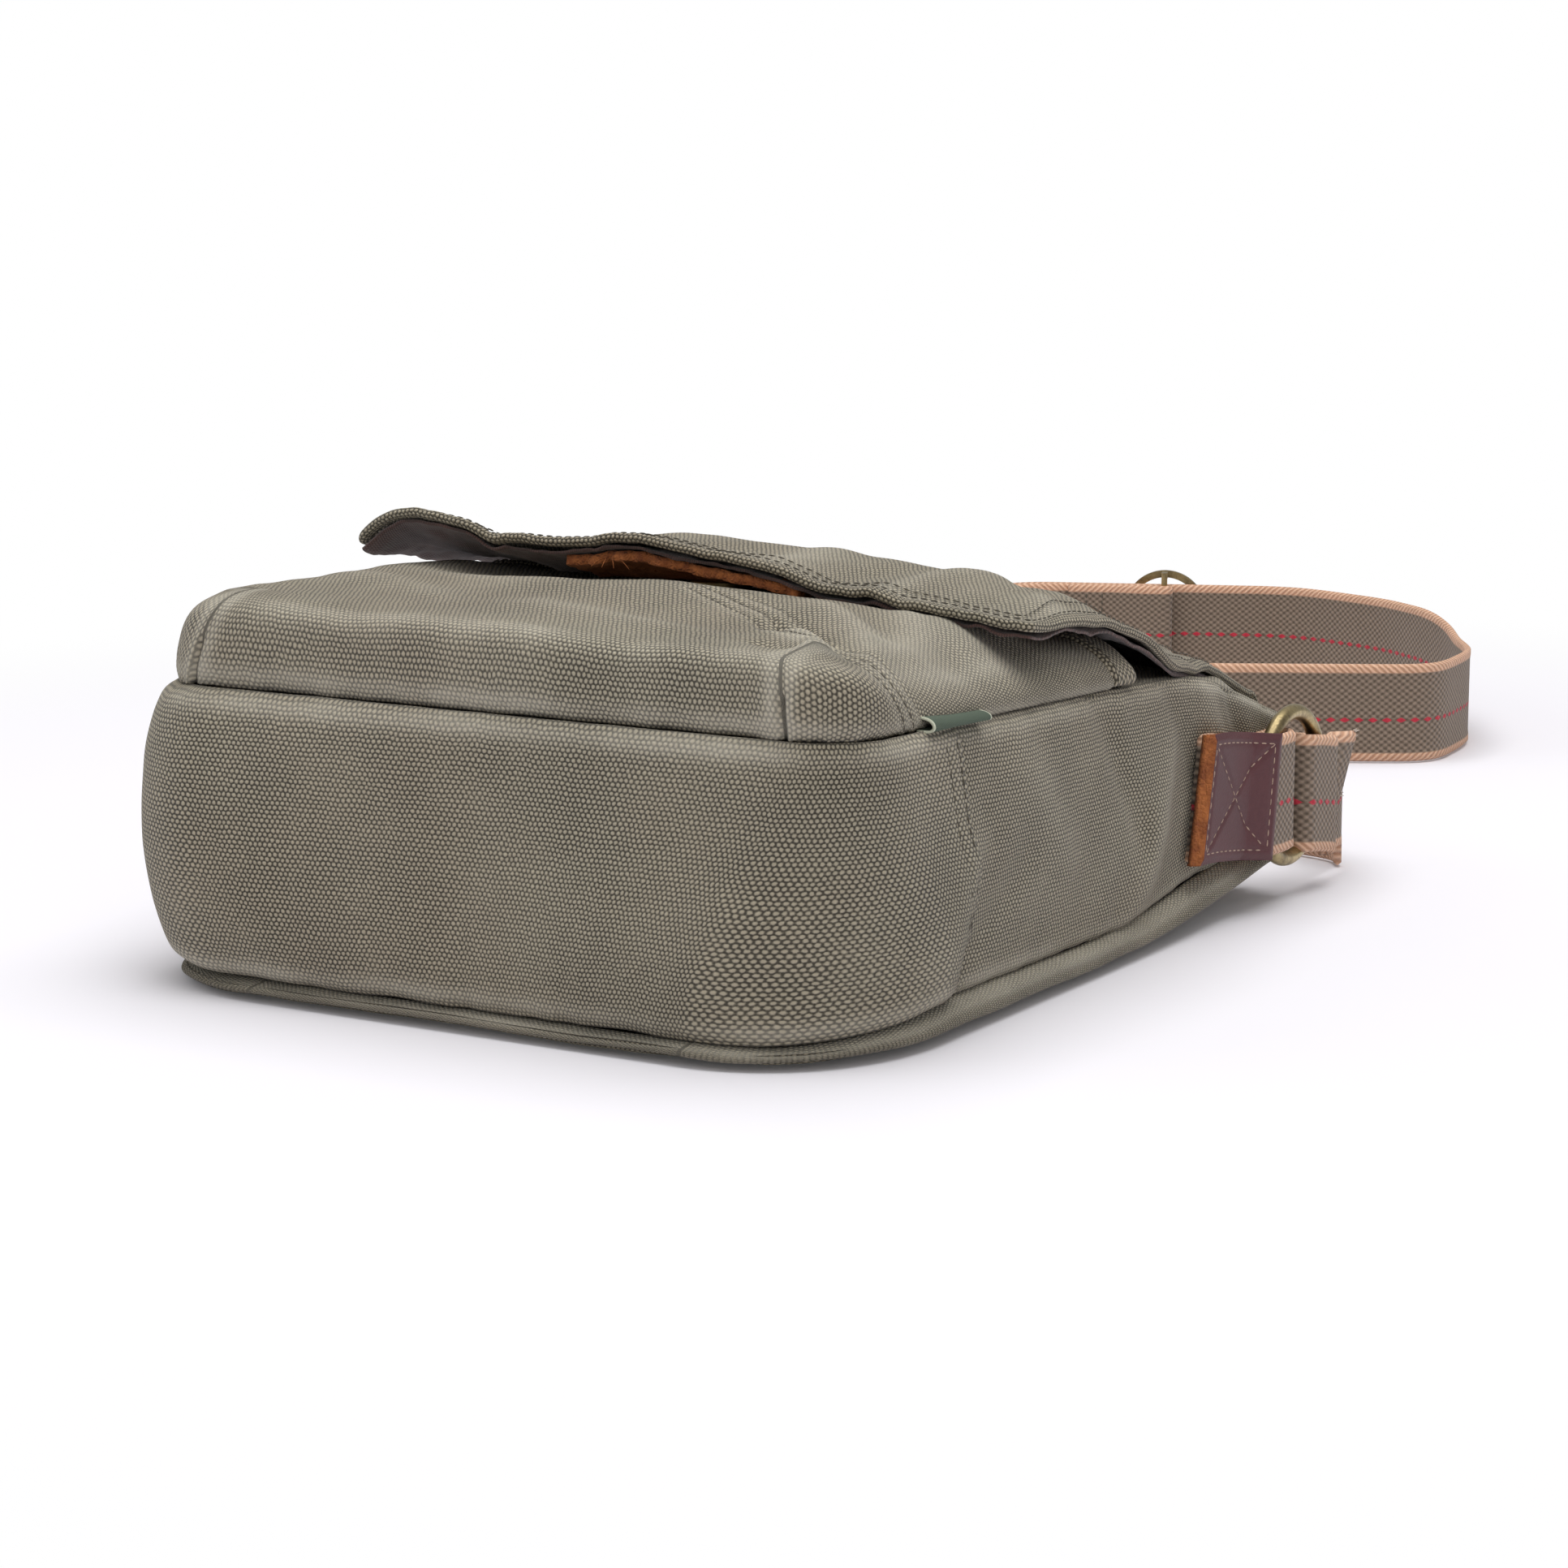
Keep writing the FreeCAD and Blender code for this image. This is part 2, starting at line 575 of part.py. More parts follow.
def rings():
    """Round rings of brass wire, one in each tab."""
    centre = FreeCAD.Vector(RING_X, RING_Y, RING_Z)
    ring = Part.makeTorus(RING_RADIUS, RING_WIRE / 2, centre, FreeCAD.Vector(1, 0, 0))
    return {"ring_right": ring, "ring_left": mirrored(ring)}


def folded_label():
    """Blank woven label folded double and caught in the front seam."""
    z = level(FRONT_LINE, LABEL_Y)
    r = LABEL_FOLD
    t = LABEL_CLOTH
    y0 = LABEL_Y - LABEL_LENGTH / 2
    x0 = HALF_WIDTH
    x1 = HALF_WIDTH + LABEL_REACH - r
    outer = Part.makeCylinder(r, LABEL_LENGTH, FreeCAD.Vector(x1, y0, z),
                              FreeCAD.Vector(0, 1, 0))
    inner = Part.makeCylinder(r - t, LABEL_LENGTH, FreeCAD.Vector(x1, y0, z),
                              FreeCAD.Vector(0, 1, 0))
    leaves = box(x0, x1, y0, y0 + LABEL_LENGTH, z - r, z + r)
    slot = box(x0, x1, y0, y0 + LABEL_LENGTH, z - r + t, z + r - t)
    return outer.fuse(leaves).cut(inner).cut(slot).removeSplitter()


# ================================================================ strap
def strap_band(low_points):
    """Closed outline of a strap's side view from its lower edge's points (along, height)."""
    top = [(a, z + WEBBING_WIDTH) for a, z in reversed(low_points)]
    return list(low_points) + top


ANCHOR_BAND = [
    (0.0, y, z) for y, z in strap_band([
        (STRAP_FOLD_Y - FOLD_RADIUS, WEB_LOW),
        (STRAP_FOLD_Y + LEVEL_RUN, WEB_LOW),
        (STRAP_FLOOR_Y, 0.0),
        (STRAP_FLOOR_Y + 10.0, 0.0),
    ])
]
LAYER_STEP = WEBBING + LOOSE_GAP             # second layer beside the first
RUN_HEADING = FreeCAD.Vector(-100.0, -39.5, 0).normalize()
RUN_LEFT = FreeCAD.Vector(-RUN_HEADING.y, RUN_HEADING.x, 0)
SLIDER_RUN = 42.0                            # straight webbing each way from the slider

# Plan corners of the strap as it lies behind the bag: x, distance behind STRAP_FLOOR_Y, bend.
ROUTE = [
    (LAYER_IN, 17.9, 14.0),
    (60.0, 23.9, 90.0),
    (0.0, 32.9, 90.0),
    (-62.0, 52.9, 60.0),
    (-122.0, 72.9, 23.0),
    (-122.0, 120.9, 20.0),
    (-22.0, 172.9, 150.0),
    (31.0, 201.9, 150.0),
    (66.0, 220.9, 13.0),
    (61.0, 272.9, 60.0),
    (32.0, 322.9, 60.0),
    (-9.0, 358.9, 60.0),
    (-60.0, 379.9, 34.0),
]
DOUBLE_ROUTE = [
    (-182.0, 331.7, 50.0),
    (-222.0, 276.9, 70.0),
    (-238.0, 180.9, 90.0),
    (-214.0, 78.9, 70.0),
    (-164.0, 34.9, 60.0),
    (-LAYER_OUT, 16.9, 16.0),
]
LIFT_START = 300.9                           # behind STRAP_FLOOR_Y, where the strap rises
LIFT_END = 338.9
LIFT_BAND = [
    (0.0, STRAP_FLOOR_Y + y, z) for y, z in strap_band([
        (-20.0, 0.0),
        (LIFT_START, 0.0),
        (LIFT_END, STRAP_LIFT),
        (2 * LIFT_END, STRAP_LIFT),
    ])
]


def corner(place):
    """Plan point of a route's corner."""
    return (place[0], STRAP_FLOOR_Y + place[1])


def halfway(first, second):
    """Plan point in the middle between two corners of the route."""
    (x0, y0), (x1, y1) = corner(first), corner(second)
    return ((x0 + x1) / 2, (y0 + y1) / 2)


def stretch(first, last):
    """Points and bends of the route round some of its corners, cut halfway to the next ones."""
    inner = ROUTE[first:last + 1]
    start = (LAYER_IN, STRAP_FLOOR_Y) if first == 0 else halfway(ROUTE[first - 1], ROUTE[first])
    end = along(-SLIDER_RUN) if last == len(ROUTE) - 1 else halfway(ROUTE[last], ROUTE[last + 1])
    return [start] + [corner(place) for place in inner] + [end], [bend for _, _, bend in inner]


def along(distance, offset=0.0):
    """Plan point on the slider's straight run, by distance from the slider's middle."""
    x, y = corner(ROUTE[-1])
    t = (SLIDER_X - x) / RUN_HEADING.x + distance
    p = FreeCAD.Vector(x, y, 0) + RUN_HEADING * t + RUN_LEFT * offset
    return (p.x, p.y)


def strap():
    """The webbing strap, stretch by stretch from the right ring to the left one and back."""
    stub_y = STRAP_FLOOR_Y - STUB_SEWN
    loose_y = stub_y - STUB_EASE
    end_right = [
        (LAYER_SEWN, STRAP_FLOOR_Y),
        (LAYER_SEWN, stub_y),
        (LAYER_OUT, loose_y),
        (LAYER_OUT, STRAP_FOLD_Y),
        (LAYER_IN, STRAP_FOLD_Y),
        (LAYER_IN, STRAP_FLOOR_Y),
    ]
    floor_left = (-LAYER_OUT, STRAP_FLOOR_Y)
    double_bends = [bend for _, _, bend in DOUBLE_ROUTE]
    double = [along(SLIDER_RUN)] + [corner(place) for place in DOUBLE_ROUTE] + [floor_left]
    shared_x = -LAYER_OUT + LAYER_STEP
    end_left = [
        floor_left,
        (-LAYER_OUT, STRAP_FOLD_Y),
        (-LAYER_IN, STRAP_FOLD_Y),
        (-LAYER_IN, loose_y),
        (shared_x, stub_y),
        (shared_x, STRAP_FLOOR_Y),
    ]
    inner_start = along(LOOP_INNER_END + SLIDER_TRAVEL + 0.5)
    inner_route = [inner_start] + double[1:]
    fold = [FOLD_RADIUS, FOLD_RADIUS]
    easy = [EASY_BEND, EASY_BEND]
    back, back_bends = stretch(10, 12)
    return {
        "strap_end_right": trimmed(end_right, easy + fold, 0.0, ANCHOR_BAND),
        "strap_behind_bag": webbing(*stretch(0, 2)),
        "strap_turn_left": webbing(*stretch(3, 5)),
        "strap_front_run": webbing(*stretch(6, 7)),
        "strap_turn_right": webbing(*stretch(8, 9)),
        "strap_back_run": trimmed(back, back_bends, 0.0, LIFT_BAND),
        "strap_slider_run": webbing([along(-SLIDER_RUN), along(SLIDER_RUN)], [], 0.0, STRAP_LIFT),
        "strap_double_outer": trimmed(double, double_bends, 0.0, LIFT_BAND),
        "strap_double_inner": trimmed(inner_route, double_bends, LAYER_STEP, LIFT_BAND),
        "strap_end_left": trimmed(end_left, fold + easy, 0.0, ANCHOR_BAND),
    }


# ================================================================ slider
BAR_OFFSET = WEBBING / 2 + LOOSE_GAP + WEBBING + CLEARANCE + SLIDER_BAR_RADIUS
LOOP_RADIUS = SLIDER_BAR_RADIUS + CLEARANCE + WEBBING / 2
LOOP_INNER_END = 14.0


def on_slider(shape):
    """Put a shape drawn along +X, front side at -Y, on the slider's run."""
    x, y = along(0.0)
    angle = math.degrees(math.atan2(RUN_HEADING.y, RUN_HEADING.x)) + 180.0
    shape.rotate(FreeCAD.Vector(0, 0, 0), FreeCAD.Vector(0, 0, 1), angle)
    shape.translate(FreeCAD.Vector(x, y, STRAP_LIFT + WEBBING_WIDTH / 2))
    return shape


def stadium(width, height, y0, depth):
    """Upright plate with round ends, centred on the origin."""
    r = width / 2
    straight = height / 2 - r
    core = box(-r, r, y0, y0 + depth, -straight, straight)
    for z in (-straight, straight):
        core = core.fuse(Part.makeCylinder(r, depth, FreeCAD.Vector(0, y0, z),
                                           FreeCAD.Vector(0, 1, 0)))
    return core.removeSplitter()


def slider():
    """Brass slider: oval frame behind the strap, bar in front, sewn end looped on the bar."""
    plate_y = WEBBING / 2 + CLEARANCE
    frame = stadium(SLIDER_WIDTH, SLIDER_HEIGHT, plate_y, SLIDER_PLATE)
    window = stadium(SLIDER_WIDTH - 2 * SLIDER_RAIL, SLIDER_HEIGHT - 2 * SLIDER_RAIL,
                     plate_y, SLIDER_PLATE)
    frame = frame.cut(window)
    r = SLIDER_BAR_RADIUS
    reach = SLIDER_HEIGHT / 2 - 0.3
    bar = Part.makeCylinder(r, 2 * reach, FreeCAD.Vector(0, -BAR_OFFSET, -reach))
    for z in (-reach, reach - 2 * r):
        bar = bar.fuse(box(-r, r, -BAR_OFFSET, plate_y, z, z + 2 * r))
    tail_y = BAR_OFFSET - LOOP_RADIUS + LAYER_STEP
    loop = [
        (-LOOP_INNER_END, -BAR_OFFSET + LOOP_RADIUS),
        (LOOP_RADIUS, -BAR_OFFSET + LOOP_RADIUS),
        (LOOP_RADIUS, -BAR_OFFSET - LOOP_RADIUS),
        (-LOOP_OVER, -BAR_OFFSET - LOOP_RADIUS),
        (-LOOP_EASE, -tail_y),
        (-LOOP_TAIL, -tail_y),
    ]
    radii = [LOOP_RADIUS, LOOP_RADIUS, LOOP_BEND, LOOP_BEND]
    looped = webbing(loop, radii, 0.0, -WEBBING_WIDTH / 2)
    return {
        "slider_frame": on_slider(frame),
        "slider_bar": on_slider(bar.removeSplitter()),
        "slider_loop": on_slider(looped),
    }


# ================================================================ assembly
def build():
    """All pieces of the bag by node name."""
    pieces = {}
    pieces.update(bag_body())
    pieces.update(front_pocket())
    pieces.update(flap())
    pieces.update(snap())
    pieces["tab_webbing_right"] = tab_webbing()
    pieces["tab_webbing_left"] = mirrored(tab_webbing())
    pieces["tab_leather_right"] = tab_leather()
    pieces["tab_leather_left"] = mirrored(tab_leather())
    pieces["folded_label"] = folded_label()
    pieces.update(rings())
    pieces.update(strap())
    pieces.update(slider())
    return pieces


os.makedirs("parts", exist_ok=True)
for node, shape in build().items():
    shape.exportStep("parts/" + node + ".step")
    print(node, "solids", len(shape.Solids), "volume", round(shape.Volume, 1),
          "valid", shape.isValid())
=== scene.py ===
"""Dresses the canvas messenger bag's CAD frame: cloth, leather, webbing, brass, thread and light."""
from __future__ import annotations

import json
import logging
import math
from collections.abc import Callable, Sequence
from dataclasses import dataclass, field
from enum import Enum

import bpy
import numpy as np
from mathutils import Vector
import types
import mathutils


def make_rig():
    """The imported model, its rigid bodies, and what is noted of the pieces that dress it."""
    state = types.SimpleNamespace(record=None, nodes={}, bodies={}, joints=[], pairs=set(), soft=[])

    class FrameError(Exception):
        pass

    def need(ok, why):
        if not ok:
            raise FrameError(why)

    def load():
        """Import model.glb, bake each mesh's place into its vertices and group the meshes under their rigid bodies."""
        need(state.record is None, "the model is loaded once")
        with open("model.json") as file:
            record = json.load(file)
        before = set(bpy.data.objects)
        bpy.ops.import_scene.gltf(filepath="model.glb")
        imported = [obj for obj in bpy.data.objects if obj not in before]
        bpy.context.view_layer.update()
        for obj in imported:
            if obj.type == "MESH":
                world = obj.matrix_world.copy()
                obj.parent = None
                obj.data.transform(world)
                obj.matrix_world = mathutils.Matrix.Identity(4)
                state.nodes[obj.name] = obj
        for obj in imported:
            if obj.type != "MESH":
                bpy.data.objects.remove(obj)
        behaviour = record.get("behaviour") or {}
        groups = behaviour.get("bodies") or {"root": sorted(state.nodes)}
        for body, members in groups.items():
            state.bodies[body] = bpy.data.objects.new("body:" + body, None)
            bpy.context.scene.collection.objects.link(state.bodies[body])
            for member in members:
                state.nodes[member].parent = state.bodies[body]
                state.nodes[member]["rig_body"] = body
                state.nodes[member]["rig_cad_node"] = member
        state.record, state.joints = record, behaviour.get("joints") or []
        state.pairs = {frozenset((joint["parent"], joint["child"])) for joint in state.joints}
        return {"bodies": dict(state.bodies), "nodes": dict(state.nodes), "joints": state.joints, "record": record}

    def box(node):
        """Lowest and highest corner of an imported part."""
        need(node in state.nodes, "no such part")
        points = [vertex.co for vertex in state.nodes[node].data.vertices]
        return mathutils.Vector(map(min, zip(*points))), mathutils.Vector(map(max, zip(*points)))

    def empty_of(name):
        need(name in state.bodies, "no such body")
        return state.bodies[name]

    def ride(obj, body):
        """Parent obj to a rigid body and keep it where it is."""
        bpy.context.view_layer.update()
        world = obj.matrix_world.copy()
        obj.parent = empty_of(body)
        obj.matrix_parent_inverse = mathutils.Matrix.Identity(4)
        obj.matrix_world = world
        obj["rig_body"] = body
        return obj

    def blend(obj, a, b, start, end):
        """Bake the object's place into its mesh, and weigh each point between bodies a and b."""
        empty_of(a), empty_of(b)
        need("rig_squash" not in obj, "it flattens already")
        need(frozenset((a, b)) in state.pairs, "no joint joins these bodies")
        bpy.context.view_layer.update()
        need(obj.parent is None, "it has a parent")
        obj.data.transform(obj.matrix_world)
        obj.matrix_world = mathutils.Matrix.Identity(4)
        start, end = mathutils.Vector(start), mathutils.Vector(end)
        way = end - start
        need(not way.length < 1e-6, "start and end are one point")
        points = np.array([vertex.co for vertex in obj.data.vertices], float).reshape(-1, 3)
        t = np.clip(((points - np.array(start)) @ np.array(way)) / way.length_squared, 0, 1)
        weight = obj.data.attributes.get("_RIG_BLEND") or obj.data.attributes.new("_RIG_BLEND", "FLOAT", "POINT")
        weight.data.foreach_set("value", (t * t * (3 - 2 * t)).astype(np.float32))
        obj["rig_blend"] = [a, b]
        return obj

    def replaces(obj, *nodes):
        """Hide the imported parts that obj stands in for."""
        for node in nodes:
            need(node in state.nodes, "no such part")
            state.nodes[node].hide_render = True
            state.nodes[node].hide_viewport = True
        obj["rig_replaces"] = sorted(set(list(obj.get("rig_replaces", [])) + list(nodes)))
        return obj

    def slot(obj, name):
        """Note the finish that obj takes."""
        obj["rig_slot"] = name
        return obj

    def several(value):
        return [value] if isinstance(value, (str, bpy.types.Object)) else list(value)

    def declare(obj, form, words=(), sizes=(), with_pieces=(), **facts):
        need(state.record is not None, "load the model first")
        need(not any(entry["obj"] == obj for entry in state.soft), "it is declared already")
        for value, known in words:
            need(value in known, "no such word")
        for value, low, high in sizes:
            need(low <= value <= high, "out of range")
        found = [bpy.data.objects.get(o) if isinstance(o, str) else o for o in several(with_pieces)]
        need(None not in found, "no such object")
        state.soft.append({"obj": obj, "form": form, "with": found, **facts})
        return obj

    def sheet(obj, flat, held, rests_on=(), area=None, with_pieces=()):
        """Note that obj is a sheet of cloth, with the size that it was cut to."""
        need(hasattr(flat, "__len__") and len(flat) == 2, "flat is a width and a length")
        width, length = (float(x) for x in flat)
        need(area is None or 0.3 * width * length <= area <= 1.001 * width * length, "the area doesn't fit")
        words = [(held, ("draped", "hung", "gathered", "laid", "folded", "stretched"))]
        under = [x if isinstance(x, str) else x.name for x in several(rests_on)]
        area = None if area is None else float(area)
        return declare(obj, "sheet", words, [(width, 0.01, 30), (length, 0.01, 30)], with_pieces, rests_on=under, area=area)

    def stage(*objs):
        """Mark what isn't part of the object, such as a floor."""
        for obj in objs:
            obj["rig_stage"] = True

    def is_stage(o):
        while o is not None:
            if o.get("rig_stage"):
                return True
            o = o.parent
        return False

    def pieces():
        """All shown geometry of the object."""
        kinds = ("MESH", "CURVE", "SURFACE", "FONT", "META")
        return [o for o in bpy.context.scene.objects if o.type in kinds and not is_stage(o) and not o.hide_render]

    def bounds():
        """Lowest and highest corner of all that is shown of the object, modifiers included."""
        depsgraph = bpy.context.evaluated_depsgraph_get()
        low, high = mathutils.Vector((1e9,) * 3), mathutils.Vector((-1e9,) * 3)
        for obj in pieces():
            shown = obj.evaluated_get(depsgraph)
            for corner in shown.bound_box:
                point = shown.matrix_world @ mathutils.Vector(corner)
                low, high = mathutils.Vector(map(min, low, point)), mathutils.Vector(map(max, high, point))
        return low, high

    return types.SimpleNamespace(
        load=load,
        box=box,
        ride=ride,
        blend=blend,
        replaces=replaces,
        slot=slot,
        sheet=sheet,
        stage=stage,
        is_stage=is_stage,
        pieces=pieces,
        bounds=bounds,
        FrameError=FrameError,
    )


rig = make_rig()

Array = np.ndarray
Point = tuple[float, float, float]
Place = Callable[[Array, Array], Array]
MM = 0.001
LOG = logging.getLogger("bag")


# ---------------------------------------------------------------- curves and noise
def ease(a: float, b: float, x: Array) -> Array:
    """Smooth step from 0 at a to 1 at b.

    Args:
        a: where it starts.
        b: where it ends.
        x: values to map.

    Returns:
        Numbers from 0 to 1.
    """
    t = np.clip((np.asarray(x, float) - a) / (b - a), 0.0, 1.0)
    return t * t * (3.0 - 2.0 * t)


def hump(d: Array, width: float) -> Array:
    """Bell curve of height 1, falling off over width."""
    return np.exp(-((d / width) ** 2))


def knot_weights(knots: Sequence[float], x: Array) -> Array:
    """Weights of a smooth curve through values given at knots.

    Args:
        knots: rising positions of the values.
        x: where the curve is read.

    Returns:
        One row per x and one column per knot.
    """
    k = np.asarray(knots, float)
    x = np.clip(np.asarray(x, float), k[0], k[-1])
    i = np.clip(np.searchsorted(k, x, side="right") - 1, 0, len(k) - 2)
    h = k[i + 1] - k[i]
    t = (x - k[i]) / h
    rows = np.arange(len(x))
    weights = np.zeros((len(x), len(k)))
    weights[rows, i] += 2 * t**3 - 3 * t**2 + 1
    weights[rows, i + 1] += 3 * t**2 - 2 * t**3
    for share, lo, hi in (
        (t**3 - 2 * t**2 + t, np.maximum(i - 1, 0), i + 1),
        (t**3 - t**2, i, np.minimum(i + 2, len(k) - 1)),
    ):
        slope = share * h / (k[hi] - k[lo])
        weights[rows, hi] += slope
        weights[rows, lo] -= slope
    return weights


def through(points: Sequence[tuple[float, float]], x: Array) -> Array:
    """Smooth curve through (position, value) points, read at x."""
    knots, values = zip(*points)
    return knot_weights(knots, x) @ np.asarray(values, float)


@dataclass(frozen=True)
class Relief:
    """Smooth surface through a table of heights.

    rows holds, for each y in ys, one height per x in xs.
    """

    xs: tuple[float, ...]
    ys: tuple[float, ...]
    rows: tuple[tuple[float, ...], ...]

    def at(self, x: Array, y: Array) -> Array:
        """Height over each (x, y)."""
        across = knot_weights(self.xs, x)
        along = knot_weights(self.ys, y)
        return np.einsum("ni,ji,nj->n", across, np.asarray(self.rows, float), along)


class Ripple:
    """Smooth seeded noise from -1 to 1 over a plane."""

    CELLS = 64

    def __init__(self, seed: int) -> None:
        """Draws the lattice for one seed."""
        self.lattice = np.random.RandomState(seed).uniform(-1, 1, (self.CELLS, self.CELLS))

    def at(self, x: Array, y: Array, size: float, octaves: int = 1) -> Array:
        """Noise at each (x, y).

        Args:
            x: first coordinate.
            y: second coordinate.
            size: distance between lattice points.
            octaves: layers, each half as large and half as strong as the one before.

        Returns:
            The noise values.
        """
        total = np.zeros(np.broadcast(x, y).shape)
        for octave in range(octaves):
            u = np.asarray(x, float) / size * 2**octave + 7.3 * octave
            v = np.asarray(y, float) / size * 2**octave + 3.1 * octave
            i, j = np.floor(u).astype(int), np.floor(v).astype(int)
            a, b = ease(0, 1, u - i), ease(0, 1, v - j)
            n = self.CELLS
            corner = [self.lattice[(i + p) % n, (j + q) % n] for p in (0, 1) for q in (0, 1)]
            low = corner[0] * (1 - b) + corner[1] * b
            high = corner[2] * (1 - b) + corner[3] * b
            total = total + (low * (1 - a) + high * a) / 2**octave
        return total


@dataclass(frozen=True)
class Crease:
    """One soft fold: a ridge, or a valley where height is negative."""

    start: tuple[float, float]
    end: tuple[float, float]
    height: float
    width: float
    bow: float = 0.0

    def at(self, x: Array, y: Array) -> Array:
        """Height that the fold adds at each (x, y)."""
        ax, ay = self.start
        dx, dy = self.end[0] - ax, self.end[1] - ay
        span = math.hypot(dx, dy)
        along = ((x - ax) * dx + (y - ay) * dy) / span**2
        across = ((x - ax) * dy - (y - ay) * dx) / span
        across = across - self.bow * 4 * along * (1 - along)
        inside = ease(-0.12, 0.25, along) * (1 - ease(0.75, 1.12, along))
        return self.height * inside * hump(across, self.width)


def creased(folds: Sequence[Crease], x: Array, y: Array) -> Array:
    """Sum of several folds at each (x, y)."""
    total = np.zeros(np.broadcast(x, y).shape)
    for fold in folds:
        total = total + fold.at(x, y)
    return total


# ---------------------------------------------------------------- meshes
def pick(obj: bpy.types.Object) -> None:
    """Selects one object alone and makes it the active one."""
    bpy.ops.object.select_all(action="DESELECT")
    obj.select_set(True)
    bpy.context.view_layer.objects.active = obj


def finished(obj: bpy.types.Object) -> bpy.types.Object:
    """Applies every modifier and leaves the object unselected.

    Args:
        obj: the piece to finish.

    Returns:
        The same object.
    """
    pick(obj)
    for modifier in list(obj.modifiers):
        bpy.ops.object.modifier_apply(modifier=modifier.name)
    obj.select_set(False)
    return obj


def mesh_points(obj: bpy.types.Object) -> Array:
    """The mesh's vertices as an array of rows, in metres."""
    co = np.zeros(len(obj.data.vertices) * 3)
    obj.data.vertices.foreach_get("co", co)
    return co.reshape(-1, 3)


def set_points(obj: bpy.types.Object, co: Array) -> None:
    """Moves the mesh's vertices to the rows of an array, in metres."""
    obj.data.vertices.foreach_set("co", np.ascontiguousarray(co, float).ravel())
    obj.data.update()


def new_piece(name: str, points: Array, faces: list[tuple[int, ...]]) -> bpy.types.Object:
    """An object with a new mesh.

    Args:
        name: the piece's name.
        points: rows of vertices, in millimetres.
        faces: vertex numbers of each face.

    Returns:
        The piece, linked to the scene.
    """
    mesh = bpy.data.meshes.new(name)
    mesh.from_pydata((points * MM).tolist(), [], faces)
    obj = bpy.data.objects.new(name, mesh)
    bpy.context.scene.collection.objects.link(obj)
    return obj


def corner_vertices(mesh: bpy.types.Mesh) -> Array:
    """The vertex number of each face corner."""
    vertex = np.zeros(len(mesh.loops), int)
    mesh.loops.foreach_get("vertex_index", vertex)
    return vertex


def faces_read(obj: bpy.types.Object, what: str) -> Array:
    """One vector per face: "normal" or "center"."""
    values = np.zeros(len(obj.data.polygons) * 3)
    obj.data.polygons.foreach_get(what, values)
    return values.reshape(-1, 3)


def second_finish(obj: bpy.types.Object, chosen: Array) -> None:
    """Gives the chosen faces the object's second material slot."""
    obj.data.polygons.foreach_set("material_index", chosen.astype(int))
    obj.data.update()


def edit(obj: bpy.types.Object, *steps: Callable[[], object]) -> None:
    """Runs edit-mode operators on the whole mesh, in order."""
    pick(obj)
    bpy.ops.object.mode_set(mode="EDIT")
    bpy.ops.mesh.select_all(action="SELECT")
    for step in steps:
        step()
    bpy.ops.object.mode_set(mode="OBJECT")
    obj.select_set(False)


def cloth(
    name: str,
    size: tuple[int, int],
    place: Place,
    flat: Place,
    thickness: float = 0.0,
    flip: bool = False,
    shade: Callable[[Array, Array], Array] | None = None,
) -> bpy.types.Object:
    """A grid shaped into a sheet of cloth.

    Args:
        name: the piece's name.
        size: faces across and along.
        place: gives points in millimetres for (u, v), each from 0 to 1.
        flat: gives the cloth's own (s, t) coordinates in millimetres for (u, v).
        thickness: in millimetres, added behind the shaped side.
        flip: turns the shaped side round.
        shade: wear from 0 to 1 for (u, v).

    Returns:
        The piece.
    """
    bpy.ops.object.select_all(action="DESELECT")
    bpy.ops.mesh.primitive_grid_add(x_subdivisions=size[0], y_subdivisions=size[1], size=1)
    obj = bpy.context.object
    obj.name = obj.data.name = name
    co = mesh_points(obj)
    u, v = co[:, 0] + 0.5, co[:, 1] + 0.5
    set_points(obj, place(u, v) * MM)
    st = flat(u, v) * MM
    obj.data.uv_layers[0].data.foreach_set("uv", st[corner_vertices(obj.data)].ravel())
    wear = np.zeros(len(u)) if shade is None else np.clip(shade(u, v), 0, 1)
    obj.data.attributes.new("wear", "FLOAT", "POINT").data.foreach_set("value", wear)
    if flip:
        obj.data.flip_normals()
    if thickness:
        solid = obj.modifiers.new("cloth", "SOLIDIFY")
        solid.thickness = thickness * MM
        solid.offset = -1
        finished(obj)
    obj.data.shade_smooth()
    obj.select_set(False)
    return obj


def distances(path: Array) -> Array:
    """Distance along a path at each of its points."""
    steps = np.linalg.norm(np.diff(path, axis=0), axis=1)
    return np.concatenate(([0.0], np.cumsum(steps)))


def stadium_profile(width: float, height: float, count: int) -> Array:
    """Rounded flat bar seen from its end.

    Args:
        width: long side.
        height: short side, with round ends.
        count: points round it.

    Returns:
        Rows of (across, up), going round once without repeating the first.
    """
    r = height / 2
    straight = width - height
    round_trip = 2 * straight + 2 * math.pi * r
    out = []
    for i in range(count):
        d = i / count * round_trip
        if d < straight:
            out.append((d - straight / 2, -r))
        elif d < straight + math.pi * r:
            a = (d - straight) / r - math.pi / 2
            out.append((straight / 2 + r * math.cos(a), r * math.sin(a)))
        elif d < 2 * straight + math.pi * r:
            out.append((straight / 2 - (d - straight - math.pi * r), r))
        else:
            a = (d - 2 * straight - math.pi * r) / r + math.pi / 2
            out.append((-straight / 2 + r * math.cos(a), r * math.sin(a)))
    return np.array(out)


